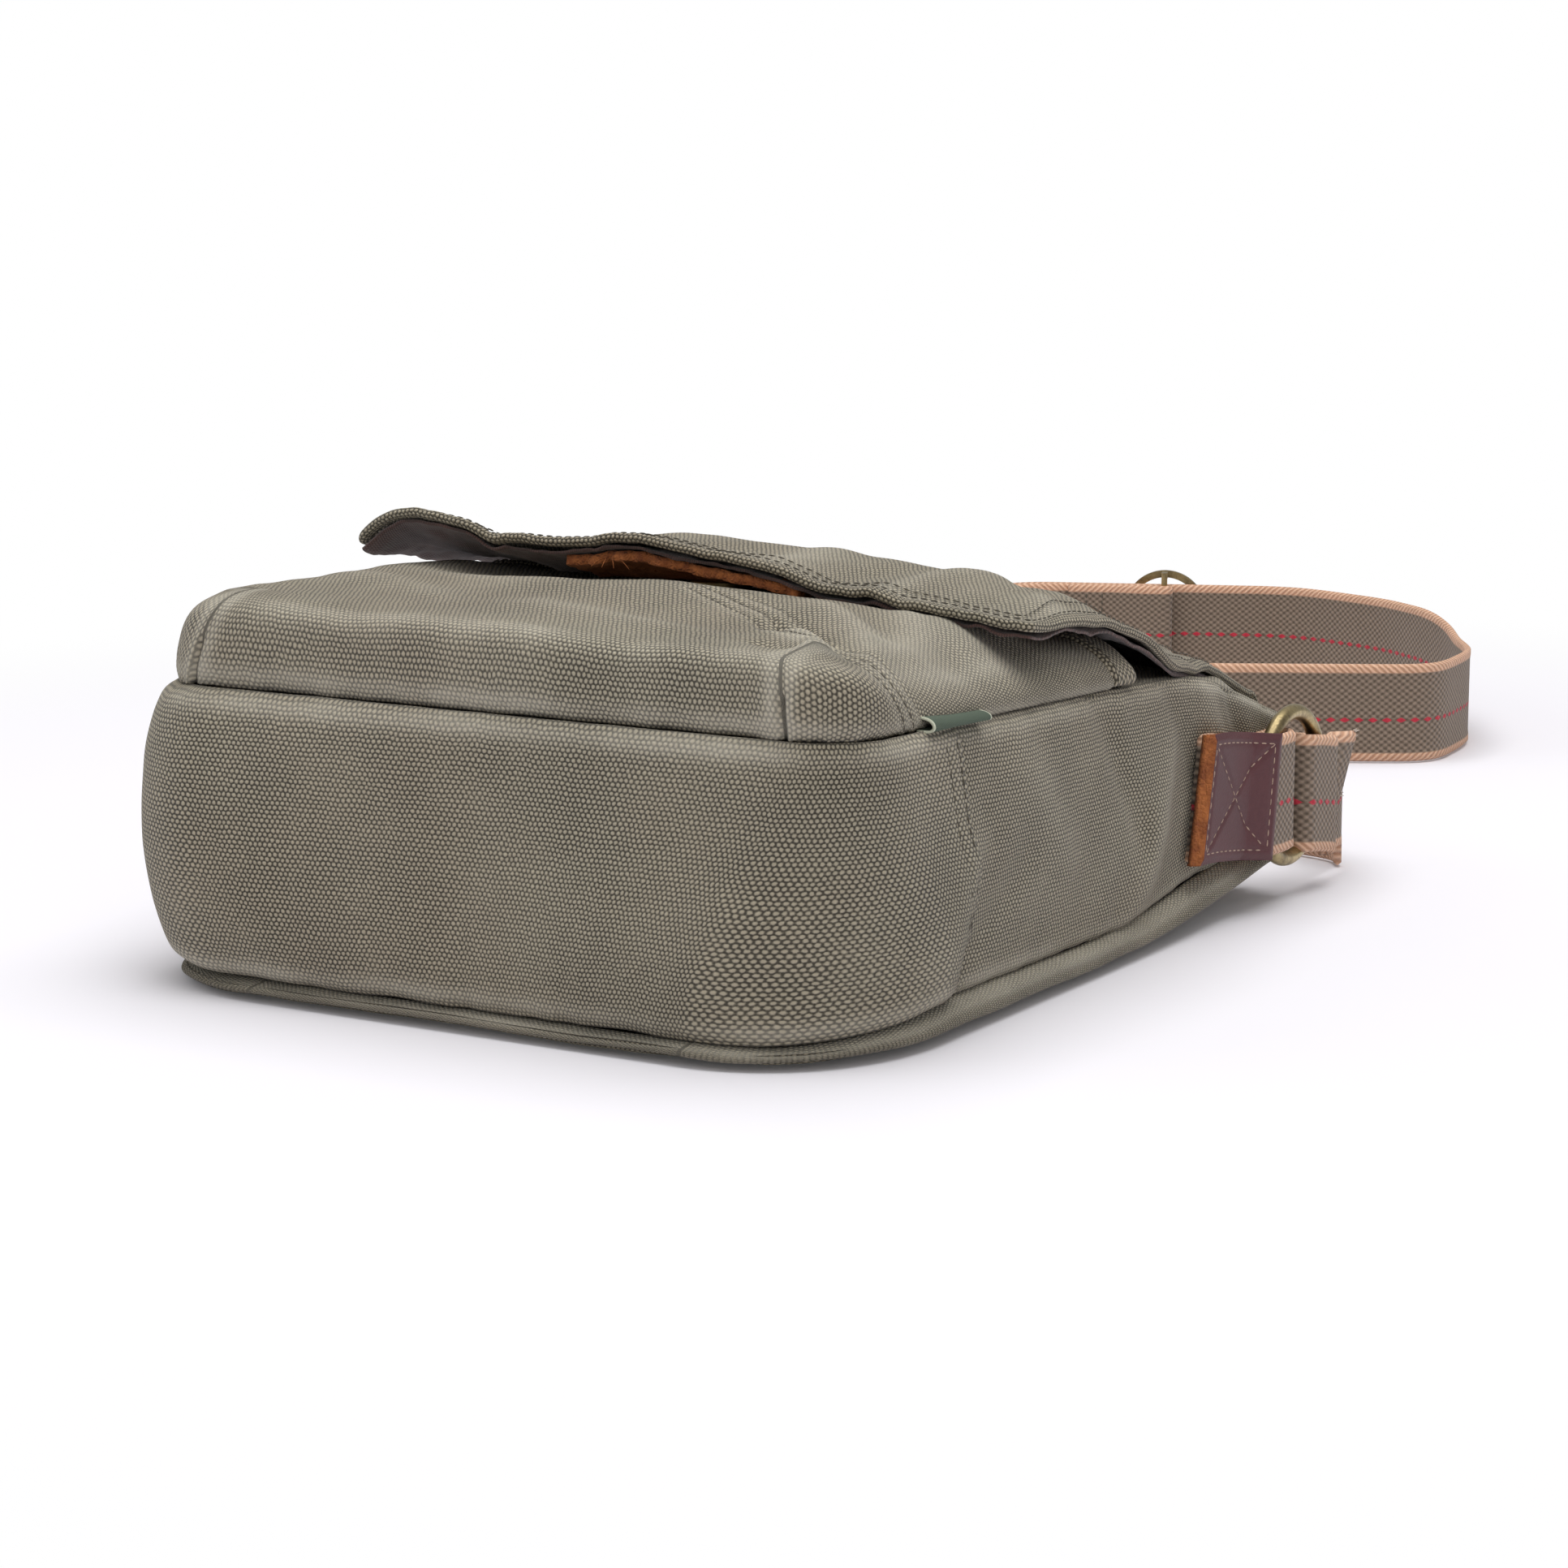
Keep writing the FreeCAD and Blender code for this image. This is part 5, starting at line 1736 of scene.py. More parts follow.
# Heights of the flap's cover in millimetres, and the folds drawn on it.
FLAP_TOP = Relief(
    xs=(-117, -103, -79, -66, -38, -12, 18, 54, 76, 100, 117),
    ys=(-41, -28, -14, 8, 30, 58, 88, 118, 134),
    rows=(
        (116.5, 126.8, 125.4, 122.6, 122.4, 125.0, 120.2, 112.0, 109.6, 108.2, 107.0),
        (113.5, 121.0, 120.0, 118.5, 119.0, 121.0, 118.0, 112.2, 110.4, 108.8, 105.0),
        (112.5, 115.8, 114.3, 113.8, 115.2, 116.0, 116.0, 112.6, 112.0, 109.8, 103.8),
        (110.0, 112.5, 112.0, 112.6, 116.2, 118.0, 115.8, 113.2, 112.0, 107.8, 101.0),
        (105.5, 110.5, 112.0, 113.2, 116.0, 115.0, 113.2, 110.4, 107.8, 102.0, 95.0),
        (95.5, 100.0, 104.0, 106.0, 108.6, 107.6, 105.5, 101.5, 97.0, 90.5, 82.0),
        (84.0, 87.0, 91.0, 92.4, 94.5, 94.2, 93.0, 90.0, 86.5, 82.5, 75.5),
        (72.0, 74.0, 76.0, 77.0, 78.4, 78.4, 77.6, 76.0, 74.0, 71.5, 67.0),
        (64.4, 64.8, 65.2, 65.4, 65.6, 65.6, 65.4, 65.2, 65.0, 64.8, 64.4),
    ),
)
FLAP_FOLDS = (
    Crease((-70, -44), (-44, 20), -1.6, 6.0, 3),
    Crease((30, -46), (20, 30), 1.4, 8.0),
    Crease((48, -44), (60, 14), -1.5, 6.0, -3),
    Crease((66, -44), (74, 30), 1.6, 6.0),
    Crease((96, -38), (84, 40), -1.2, 6.0, 2),
    Crease((110, -20), (78, 66), 1.6, 7.0, -3),
    Crease((112, 20), (60, 80), -2.2, 5.5),
    Crease((106, 56), (50, 96), 2.0, 6.0),
    Crease((108, -6), (66, 34), -1.8, 4.5, 3),
    Crease((114, 74), (72, 112), -1.6, 5.0),
    Crease((-30, -30), (24, -22), 1.0, 5.0),
    Crease((-104, 40), (-40, 92), 1.4, 8.0),
)


class Stretch(Enum):
    """Which of the flap's two hinges a stretch of cloth bends over."""

    NECK = ("bag", "flap_top")
    COVER = ("flap_top", "flap_front")


@dataclass
class Flap:
    """The flap: canvas, turned hem, brown lining, stitches and the leather behind its snap."""

    sizes: Sizes
    wardrobe: Wardrobe
    thread: Thread
    canvas: float = 2.0
    split_z: float = 34.0
    start_y: float = 122.0
    neck_half: float = 105.0
    waist_y: float = 52.0
    corner: float = 2.5
    fold_radius: float = 8.0
    turn_z: float = 56.5
    tuck: float = 1.5
    under: float = 1.4
    hem_inset: float = 2.5
    stitch_insets: tuple[float, float] = (4.0, 9.5)
    waves: Ripple = field(default_factory=lambda: Ripple(17))

    def __post_init__(self) -> None:
        """Works out the lengths of the flap's stretches."""
        self.wall_y = self.sizes.fold + 0.2
        self.turn_y = self.wall_y - self.fold_radius
        self.arc = self.fold_radius * math.pi / 2
        self.wall = self.turn_z - self.split_z
        self.reach = self.turn_y - self.sizes.flap_edge

    def half_at(self, y: Array) -> Array:
        """Half width of the flap at y."""
        widening = 1 - ease(self.waist_y - 20, 136, y)
        return self.neck_half + (self.sizes.flap_half - self.neck_half) * widening

    def turn_at(self, q: Array) -> Array:
        """How far the fold over the mouth has turned at q, in radians."""
        return np.clip((q - self.wall) / self.arc, 0, 1) * math.pi / 2

    def cover_at(self, w: Array, q: Array, drop: float = 0.0, inset: float = 0.0) -> Array:
        """A point of the cover.

        Args:
            w: -1 to 1 across.
            q: distance from the split line on the wall towards the free edge.
            drop: how far under the outer face.
            inset: how far inside the edges.

        Returns:
            Rows of points, in millimetres.
        """
        on_top = np.clip((q - self.wall - self.arc) / self.reach, 0, 1)
        y = self.turn_y - on_top * (self.reach - inset)
        turn = self.turn_at(q)
        gap = np.clip(self.corner - (y - self.sizes.flap_edge), 0, self.corner)
        corner_cut = self.corner - np.sqrt(np.clip(self.corner**2 - gap**2, 0, None))
        half = self.half_at(y) - inset - corner_cut * 0.9
        x = half * w
        lid = self.lid(x, y)
        wall_z = self.split_z + np.clip(q, 0, self.wall)
        fold_y = self.turn_y + (self.fold_radius - drop) * np.cos(turn)
        lift = lid - self.turn_z
        fold_z = self.turn_z + lift * np.sin(turn) - drop * np.sin(turn)
        flat = q > self.wall + self.arc
        in_turn = (q > self.wall) & ~flat
        py = np.where(flat, y, np.where(in_turn, fold_y, self.wall_y - drop))
        pz = np.where(flat, lid - drop, np.where(in_turn, fold_z, wall_z))
        return rows(x, py, pz)

    def lid(self, x: Array, y: Array) -> Array:
        """Height of the cover's outer face."""
        edge = ease(0, 26, self.turn_y - y)
        z = FLAP_TOP.at(x, y)
        z = z + creased(FLAP_FOLDS, x, y) * edge
        z = z + (self.waves.at(x, y, 42.0, 2) * 0.9 + self.waves.at(x, y + 50, 13.0, 2) * 0.35) * edge
        d = np.minimum(y - self.sizes.flap_edge, self.sizes.flap_half - np.abs(x) + 1)
        ripple = self.waves.at(x, y * 0.4, 8.0, 2) * 0.55
        return z + ripple * np.exp(-np.clip(d, 0, None) / 12.0) * edge

    def neck_at(self, w: Array, q: Array, drop: float = 0.0) -> Array:
        """A point of the neck, from under the back panel round the mouth's edge to the split line."""
        r = self.wall_y - self.sizes.mouth + self.tuck
        under = self.sizes.mouth - self.tuck - self.start_y
        base = through(BACK_LINE, np.clip(self.start_y + q, None, self.sizes.mouth)) - self.under
        arc = r * math.pi / 2
        turn = np.clip((q - under) / arc, 0, 1) * math.pi / 2
        low = through(BACK_LINE, np.array([self.sizes.mouth]))[0] - self.under
        up = np.clip(q - under - arc, 0, None)
        top = self.split_z - low - r
        up = up / max(self.neck_length() - under - arc, 1e-6) * top
        past = self.sizes.mouth - self.tuck + (r - drop) * np.sin(turn)
        y = np.where(q < under, self.start_y + q, past)
        z = np.where(q < under, base + drop, low + r - (r - drop) * np.cos(turn) + up)
        return rows(self.neck_half * w, y, z)

    def neck_length(self) -> float:
        """Cloth length of the neck."""
        r = self.wall_y - self.sizes.mouth + self.tuck
        low = float(through(BACK_LINE, np.array([self.sizes.mouth]))[0]) - self.under
        under = self.sizes.mouth - self.tuck - self.start_y
        return under + r * math.pi / 2 + self.split_z - low - r

    def cover_length(self) -> float:
        """Cloth length of the cover."""
        return self.wall + self.arc + self.reach

    def bend(self, obj: bpy.types.Object, stretch: Stretch) -> bpy.types.Object:
        """Makes a piece bend over one of the two hinges."""
        if stretch is Stretch.NECK:
            start, end = (0, self.sizes.mouth - 2.0, 9.0), (0, self.wall_y + 0.5, 22.0)
        else:
            start, end = (0, self.wall_y + 1.0, 45.0), (0, self.turn_y - 7.0, 64.0)
        a, b = stretch.value
        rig.blend(obj, a, b, start=tuple(c * MM for c in start), end=tuple(c * MM for c in end))
        return obj

    def edge_path(self, inset: float, drop: float) -> tuple[Array, Array, Array]:
        """The cover's free edge, from the left of the split line round to the right.

        Args:
            inset: how far inside the edge.
            drop: how far under the outer face.

        Returns:
            Rows of points, directions out of the flap, and normals.
        """
        total = self.cover_length()
        q_turn = total - self.corner
        side = np.linspace(0.0, q_turn, 130)
        front = np.linspace(-1, 1, 150)
        inner = 1 - self.corner / self.sizes.flap_half
        points = [(-1.0, q) for q in side]
        phi = np.linspace(0, math.pi / 2, 12)[1:]
        turns = [(inner + (1 - inner) * math.cos(a), q_turn + self.corner * math.sin(a)) for a in phi]
        points += [(-w, q) for w, q in turns] + [(w, total) for w in front if abs(w) < inner]
        points += turns[::-1] + [(1.0, q) for q in side[::-1]]
        wq = np.array(points)
        w, q = wq[:, 0], wq[:, 1]
        half = self.sizes.flap_half
        middle_w, middle_q = w * (1 - 40 / half), np.minimum(q, total - 40)
        inward = np.column_stack((middle_w * half - w * half, middle_q - q))
        inward /= np.maximum(np.linalg.norm(inward, axis=1, keepdims=True), 1e-9)
        x0, q0 = w * half + inward[:, 0] * inset, q + inward[:, 1] * inset
        here = self.square_at(x0, q0, drop)
        ahead = self.square_at(x0 - inward[:, 0], q0 - inward[:, 1], drop)
        out = here - ahead
        out = -out / np.linalg.norm(out, axis=1, keepdims=True)
        heading, _ = along_path(here)
        normal = np.cross(heading, out)
        normal /= np.linalg.norm(normal, axis=1, keepdims=True)
        return here, out, normal

    def square_at(self, a: Array, q: Array, drop: float) -> Array:
        """A point of the cover by cloth distance across at full width, past the edges too."""
        on_top = (q - self.wall - self.arc) / self.reach
        y = self.turn_y - np.clip(on_top, 0, None) * self.reach
        half = self.half_at(y)
        x = a * half / self.sizes.flap_half
        inside = self.cover_at(np.zeros(len(a)), np.clip(q, 0, None), drop)
        flat = q > self.wall + self.arc
        lid = self.lid(x, y)
        turn = self.turn_at(q)
        fold_z = self.turn_z + (lid - self.turn_z) * np.sin(turn) - drop * np.sin(turn)
        z = np.where(flat, lid - drop, np.where(q > self.wall, fold_z, inside[:, 2]))
        return rows(x, np.where(flat, y, inside[:, 1]), z)

    def cover(self) -> list[bpy.types.Object]:
        """Canvas, hem, stitches and lining of the cover."""
        total = self.cover_length()

        def at(u: Array, v: Array) -> Array:
            return self.cover_at(2 * u - 1, v * total, 0.0, 1.2)

        def flat(u: Array, v: Array) -> Array:
            return rows((2 * u - 1) * self.sizes.flap_half, v * total)

        def wear(u: Array, v: Array) -> Array:
            p = at(u, v)
            x, y = p[:, 0], p[:, 1]
            patch = 0.5 + 0.5 * self.waves.at(x, y, 22.0, 2)
            d = np.minimum((1 - np.abs(2 * u - 1)) * 115, (1 - v) * total)
            crest = np.clip(creased(FLAP_FOLDS, x, y) * 0.35, 0, 0.6)
            return crest + 0.4 * hump(d, 5) + 0.3 * patch + 0.5 * hump(v * total - self.wall - 8, 8)

        canvas = cloth("flap_cover", (170, 175), at, flat, self.canvas, flip=True, shade=wear)
        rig.replaces(canvas, "flap_front_canvas")
        path, out, normal = self.edge_path(self.hem_inset, 1.1)
        profile = stadium_profile(width=5.0, height=2.7, count=28)
        hem = sweep("flap_edge_hem", path, out, normal, profile, girdled=True)
        under = 3.1

        def lined(u: Array, v: Array) -> Array:
            p = self.cover_at(2 * u - 1, v * total, under, 1.3)
            x, y = p[:, 0], p[:, 1]
            pleat = self.waves.at(x, y, 5.5, 2) * 0.5 + self.waves.at(x, y, 16.0) * 0.8
            p[:, 2] -= (0.6 + pleat) * ease(0.22, 0.4, v)
            return p

        def lining_wear(u: Array, v: Array) -> Array:
            p = self.cover_at(2 * u - 1, v * total, under, 2.2)
            return np.clip(0.25 + 0.5 * self.waves.at(p[:, 0], p[:, 1], 9.0, 3), 0, 1)

        lining = cloth("flap_lining", (150, 150), lined, flat, 0.8, flip=True, shade=lining_wear)
        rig.replaces(lining, "flap_front_lining")
        seams = [self.edge_path(inset, -0.62)[::2] for inset in self.stitch_insets]
        stitches = self.thread.sew(
            "flap_topstitch", seams, length=2.4, gap=0.9, thickness=0.5, sunk=0.05,
        )
        for piece, slot, finish in (
            (canvas, "canvas", Cloths.CANVAS),
            (hem, "canvas", Cloths.CANVAS),
            (lining, "lining_cotton", Cloths.COTTON),
        ):
            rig.slot(piece, slot)
            self.wardrobe.dress(piece, finish)
        self.wardrobe.dress(stitches, Cloths.SEAM)
        made = [canvas, hem, lining, stitches]
        for piece in made:
            self.bend(piece, Stretch.COVER)
        return made

    def neck(self) -> list[bpy.types.Object]:
        """Canvas and lining of the neck."""
        total = self.neck_length()

        def at(u: Array, v: Array) -> Array:
            return self.neck_at(2 * u - 1, v * total)

        def lined(u: Array, v: Array) -> Array:
            q = total * (0.62 + 0.38 * v)
            return self.neck_at((2 * u - 1) * 0.94, q, 2.4)

        def flat(u: Array, v: Array) -> Array:
            return rows((2 * u - 1) * self.sizes.flap_half, v * total - total)

        canvas = cloth("flap_neck", (150, 36), at, flat, self.canvas)
        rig.replaces(canvas, "flap_top_canvas")
        lining = cloth("flap_neck_lining", (120, 20), lined, flat, 0.8)
        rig.replaces(lining, "flap_top_lining")
        for piece, slot, finish in (
            (canvas, "canvas", Cloths.CANVAS),
            (lining, "lining_cotton", Cloths.COTTON),
        ):
            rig.slot(piece, slot)
            self.wardrobe.dress(piece, finish)
            self.bend(piece, Stretch.NECK)
        return [canvas, lining]

    def build(self) -> list[bpy.types.Object]:
        """Every piece of the flap."""
        cover, neck = self.cover(), self.neck()
        edge = self.cover_length()
        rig.sheet(
            cover[0], flat=(2 * self.sizes.flap_half * MM, edge * MM), held="draped",
            rests_on=["pocket_canvas", "panel_front"], with_pieces=[cover[1], cover[2], cover[3]],
        )
        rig.sheet(
            neck[0], flat=(2 * self.neck_half * MM, self.neck_length() * MM), held="folded",
            rests_on=["panel_back"], with_pieces=[neck[1]],
        )
        return cover + neck


@dataclass
class Snap:
    """Leather patches of the magnetic snap, and its brass."""

    flap: Flap
    wardrobe: Wardrobe
    length: float = 36.0
    thick: float = 3.0
    seat_thick: float = 1.9
    inset: float = 3.0
    drop: float = 4.8
    rim_limit: float = 0.75
    seat_rim_limit: float = 0.6

    def build(self) -> list[bpy.types.Object]:
        """Patches on the flap and on the pocket."""
        flap = self.flap
        edge = flap.sizes.flap_edge
        left, right = (corner.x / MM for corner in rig.box("flap_snap_patch"))

        def under(u: Array, v: Array) -> Array:
            x = left + (right - left) * u
            y = edge + self.inset + self.length * v
            rough = flap.waves.at(x, y, 3.0, 2) * 0.35
            x, y = x + rough, y + rough * (v < 0.05) * 1.6
            return rows(x, y, flap.lid(x, y) - self.drop + rough)

        def flat(u: Array, v: Array) -> Array:
            return rows(u * 60, v * 36)

        patch = cloth("snap_patch_flap", (90, 56), under, flat, self.thick)
        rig.replaces(patch, "flap_snap_patch")
        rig.slot(patch, "tan_leather")
        self.wardrobe.dress(patch, Cloths.TAN, Cloths.RAW)
        raw_rims(patch, self.rim_limit)
        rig.ride(patch, "flap_front")
        low, high = (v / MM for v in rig.box("pocket_snap_patch"))

        def over(u: Array, v: Array) -> Array:
            x = low.x + (high.x - low.x) * u
            y = low.y + (high.y - low.y) * v
            return rows(x, y, 1.7 + POCKET_TOP.at(x, y) + creased(POCKET_FOLDS, x, y))

        seat = cloth("snap_patch_pocket", (40, 40), over, flat, self.seat_thick)
        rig.replaces(seat, "pocket_snap_patch")
        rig.slot(seat, "tan_leather")
        self.wardrobe.dress(seat, Cloths.TAN, Cloths.RAW)
        raw_rims(seat, self.seat_rim_limit)
        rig.ride(seat, "bag")
        for node in ("snap_socket", "snap_stud"):
            self.wardrobe.dress(bpy.data.objects[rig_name(node)], Cloths.BRASS)
        strands = []
        for k, (dx, dy) in enumerate(((-2, -3.6), (0.8, -4.4), (2.6, -3.0), (6.0, -2.2))):
            a = np.array([left + 13 + 1.5 * k, edge + self.inset, 0.0])
            a[2] = float(flap.lid(a[:1], a[1:2])[0]) - 6.4
            t = np.linspace(0, 1, 14)[:, None]
            bend = np.array([dx, dy, -2.2 - 0.4 * k])
            strands.append(a + bend * t + np.array([0, 0, 1.5]) * t * (1 - t))
        fibres = whiskers("patch_fibres", strands, 0.22)
        self.wardrobe.dress(fibres, Cloths.RAW)
        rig.ride(fibres, "flap_front")
        return [patch, seat, fibres]


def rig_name(node: str) -> str:
    """Name of the object that shows a CAD node."""
    return next(o.name for o in bpy.data.objects if o.get("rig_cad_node") == node)


def raw_rims(obj: bpy.types.Object, limit: float) -> None:
    """Gives the cut edges of a leather piece its second finish: faces that look sideways."""
    second_finish(obj, np.abs(faces_read(obj, "normal")[:, 2]) < limit)


def whiskers(name: str, strands: Sequence[Array], radius: float) -> bpy.types.Object:
    """Thin fibres along strands, tapering to their ends."""
    first = None
    for strand in strands:
        heading, _ = along_path(strand)
        up = np.tile([0.0, 0.0, 1.0], (len(strand), 1))
        side = np.cross(heading, up)
        side /= np.maximum(np.linalg.norm(side, axis=1, keepdims=True), 1e-6)
        up = np.cross(side, heading)
        ring = np.array([(math.cos(a), math.sin(a)) for a in np.linspace(0, 2 * math.pi, 6)[:-1]])
        end = np.linalg.norm(np.diff(strand, axis=0), axis=1).sum()
        piece = sweep(name, strand, side, up, ring * radius, scale=lambda run: 1.05 - 0.8 * run / end)
        if first is None:
            first = piece
            continue
        pick(first)
        piece.select_set(True)
        bpy.ops.object.join()
    first.select_set(False)
    return first


@dataclass
class Strap:
    """Strap webbing: one length from ring to ring, and a second layer ending at the slider."""

    sizes: Sizes
    wardrobe: Wardrobe
    thread: Thread
    width: float = 38.0
    thick: float = 2.2
    lift: float = 6.0
    layer: float = 2.6
    fold_radius: float = 3.9
    bar_offset: float = 5.3
    bar_middle: float = 2.6
    bar_reach: float = 2.7
    step: float = 1.6
    run: float = 42.0
    cut: float = 46.0
    ease_reach: float = 14.0
    settled_x: float = 62.0
    by_ring: float = 110.0
    strands: int = 46

    FREE = (
        (60, 203), (0, 212), (-31, 222), (-62, 232), (-122, 252), (-122, 300), (-72, 326), (-22, 352),
        (31, 381), (48.5, 390.5), (66, 400), (61, 452), (46.5, 477), (32, 502), (-9, 538),
    )
    FREE_RADII = (14, 90, 90, 150, 60, 23, 20, 150, 150, 150, 150, 13, 60, 60, 60, 60, 34)
    FAR = ((-182, 510.8), (-222, 456), (-238, 360), (-214, 258), (-164, 214))
    FAR_RADII = (50, 70, 90, 70, 60, 16)

    def __post_init__(self) -> None:
        """Takes the layers' places from the rings and the slider."""
        self.mid_x = self.sizes.ring[0]
        self.inner_x = self.mid_x - self.fold_radius
        self.outer_x = self.mid_x + self.fold_radius
        self.sewn_x = self.inner_x + self.thick + 0.1
        self.fold_y = self.sizes.ring[1] + 5.1
        self.floor_y = self.fold_y + 42.0
        heading = np.array([-100.0, -39.5])
        self.heading = heading / np.linalg.norm(heading)
        self.left = np.array([-self.heading[1], self.heading[0]])
        low, high = (np.array(v)[:2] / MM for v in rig.box("slider_bar"))
        self.slider = (low + high) / 2 - self.left * self.bar_middle

    def on_run(self, distance: float, offset: float = 0.0) -> tuple[float, float]:
        """Plan point beside the straight run through the slider."""
        p = self.slider + self.heading * distance + self.left * offset
        return float(p[0]), float(p[1])

    def low_edge(self, y: Array, x: Array, stub: bool) -> Array:
        """Height of the webbing's lower edge along the floor."""
        web_low = self.sizes.ring[2] - self.width / 2
        near = web_low - 3.0 - (web_low - 10.0) * ease(self.fold_y - 8, self.floor_y + 8, y)
        raised_from = abs(self.inner_x) - 2
        settling = np.interp(np.abs(x), [self.settled_x, raised_from], [0.0, 1.0]) * near
        lifted = self.lift * ease(480, 520, y)
        low = np.where(np.abs(x) > raised_from, near, settling)
        by_bag = (y < self.floor_y + 8) & (np.abs(x) > self.settled_x)
        return np.where(by_bag & stub, low, lifted)

    def ribbon(
        self, name: str, plan: Array, low: Array, slant: float = 0.0, end_slant: float = 0.0
    ) -> bpy.types.Object:
        """Webbing standing on edge along a plan path.

        Args:
            name: the piece's name.
            plan: rows of (x, y).
            low: height of the lower edge at each.
            slant: how far the start leans along the path, from lower to upper edge.
            end_slant: how far the end leans against it.

        Returns:
            The piece.
        """
        path = np.column_stack((plan, low + self.width / 2))
        heading, run = along_path(np.column_stack((plan, 0 * low)))
        up = np.tile([0.0, 0.0, 1.0], (len(path), 1))
        out = np.cross(heading, up)
        profile = stadium_profile(self.width, self.thick, count=44)
        rim = ease(self.width / 2 - 4.2, self.width / 2 - 2.6, np.abs(profile[:, 0]))
        profile[:, 1] *= 1 + 0.22 * rim
        obj = sweep(name, path, up, out, profile)
        if slant or end_slant:
            co = mesh_points(obj) / MM
            m = len(profile)
            share = slant * (1 - ease(0, 24, run)) - end_slant * ease(run[-1] - 34, run[-1], run)
            lean = np.repeat(share, m) * np.tile(profile[:, 0] / (self.width / 2), len(path))
            along = np.repeat(heading, m, axis=0)
            co[: len(along)] += along * lean[:, None]
            set_points(obj, co * MM)
        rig.slot(obj, "webbing")
        return self.wardrobe.dress(obj, Cloths.WEBBING)

    def route(self) -> tuple[Array, Array]:
        """Plan paths of the long layer, from ring to ring, and of the near layer beside it."""
        floor, fold, stub = self.floor_y, self.fold_y, self.floor_y - 20.0
        out_x, in_x, sewn = self.outer_x, self.inner_x, self.sewn_x
        stub_part = rounded(
            [(sewn, floor - 2.5), (sewn, floor - 11), (out_x, stub), (out_x, fold), (in_x, fold),
             (in_x, floor)],
            [8.0, 8.0, self.fold_radius, self.fold_radius],
        )
        free = rounded(
            [(in_x, floor), (in_x, 197), *self.FREE, self.on_run(-57.5), self.on_run(-self.run)],
            self.FREE_RADII,
        )
        free = eased(free, self.ease_reach)
        far = rounded(
            [self.on_run(self.run), *self.FAR, (-out_x, 196), (-out_x, floor)],
            self.FAR_RADII,
        )
        far = eased(far, self.ease_reach)
        ring = rounded(
            [(-out_x, floor), (-out_x, fold), (-in_x, fold), (-in_x, stub),
             (-out_x + self.layer, floor - 11), (-out_x + self.layer, floor)],
            [self.fold_radius, self.fold_radius, 8.0, 8.0],
        )
        long = np.concatenate((stub_part[:-1], free, far[1:], ring[1:]))
        heading, _ = along_path(far)
        near = far + np.column_stack((-heading[:, 1], heading[:, 0])) * self.layer
        return resampled(long, self.step), near

    def build(self) -> list[bpy.types.Object]:
        """Both layers of the strap and the part that goes with the slider."""
        long, near = self.route()
        _, run = along_path(long)
        by_ring = (run < self.by_ring) | (run > run[-1] - self.by_ring)
        low = self.low_edge(long[:, 1], long[:, 0], by_ring)
        strap = self.ribbon("strap_webbing_long", long, low, slant=-12.0)
        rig.replaces(
            strap, "strap_end_right", "strap_behind_bag", "strap_turn_left", "strap_front_run",
            "strap_turn_right", "strap_back_run", "strap_slider_run", "strap_double_outer",
            "strap_end_left",
        )
        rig.ride(strap, "bag")
        _, near_run = along_path(near)
        back = resampled(near[near_run > self.cut][::-1], self.step)
        low = self.low_edge(back[:, 1], back[:, 0], np.zeros(len(back), bool))
        layer = self.ribbon("strap_webbing_return", back, low)
        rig.replaces(layer, "strap_double_inner")
        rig.ride(layer, "bag")
        loop = self.loop(near, near_run)
        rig.sheet(
            strap, flat=(self.width * MM, float(run[-1]) * MM), held="laid", rests_on=["panel_back"],
        )
        ends = self.frayed(long)
        return [strap, layer, *loop, ends]

    def loop(self, near: Array, near_run: Array) -> list[bpy.types.Object]:
        """The strap's end: along the run, round the slider's bar and back, sewn to itself."""
        bar_off, r = self.bar_offset, self.bar_reach
        lead = near[near_run <= self.cut][::-1]
        tail_off = bar_off - r + self.layer
        bends = (
            (self.run, self.layer), (18.0, self.layer), (8.0, bar_off - r), (-r, bar_off - r),
            (-r, bar_off + r), (8.0, bar_off + r), (22.0, tail_off), (self.run, tail_off),
        )
        bent = rounded([self.on_run(*place) for place in bends], [20, 20, r, r, 14, 14])
        path = resampled(np.concatenate((lead[:-1], bent)), 1.2)
        low = self.low_edge(path[:, 1], path[:, 0], np.zeros(len(path), bool))
        obj = self.ribbon("strap_slider_end", path, low)
        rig.replaces(obj, "slider_loop")
        height = self.lift + self.width / 2
        a, b = (
            tuple(c * MM for c in (*self.on_run(place, self.layer), height))
            for place in (self.run + self.cut, 16.0)
        )
        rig.blend(obj, "bag", "slider", start=a, end=b)
        face = np.array([-self.heading[1], self.heading[0], 0.0])
        seams = []
        for distance in (27.0, 34.0):
            x, y = self.on_run(distance, tail_off)
            z = np.linspace(self.lift + 2, self.lift + self.width - 2, 30)
            line = rows(x + face[0] * 1.15 + 0 * z, y + face[1] * 1.15 + 0 * z, z)
            seams.append((line, np.tile(face, (len(z), 1))))
        sewn = self.thread.sew(
            "strap_slider_stitch", seams, length=2.2, gap=0.7, thickness=0.6, sunk=0.0,
        )
        self.wardrobe.dress(sewn, Cloths.SEAM)
        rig.ride(sewn, "slider")
        for node in ("slider_frame", "slider_bar", "ring_right", "ring_left"):
            self.wardrobe.dress(bpy.data.objects[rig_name(node)], Cloths.BRASS)
            bpy.data.objects[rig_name(node)].data.shade_smooth()
        return [obj, sewn]

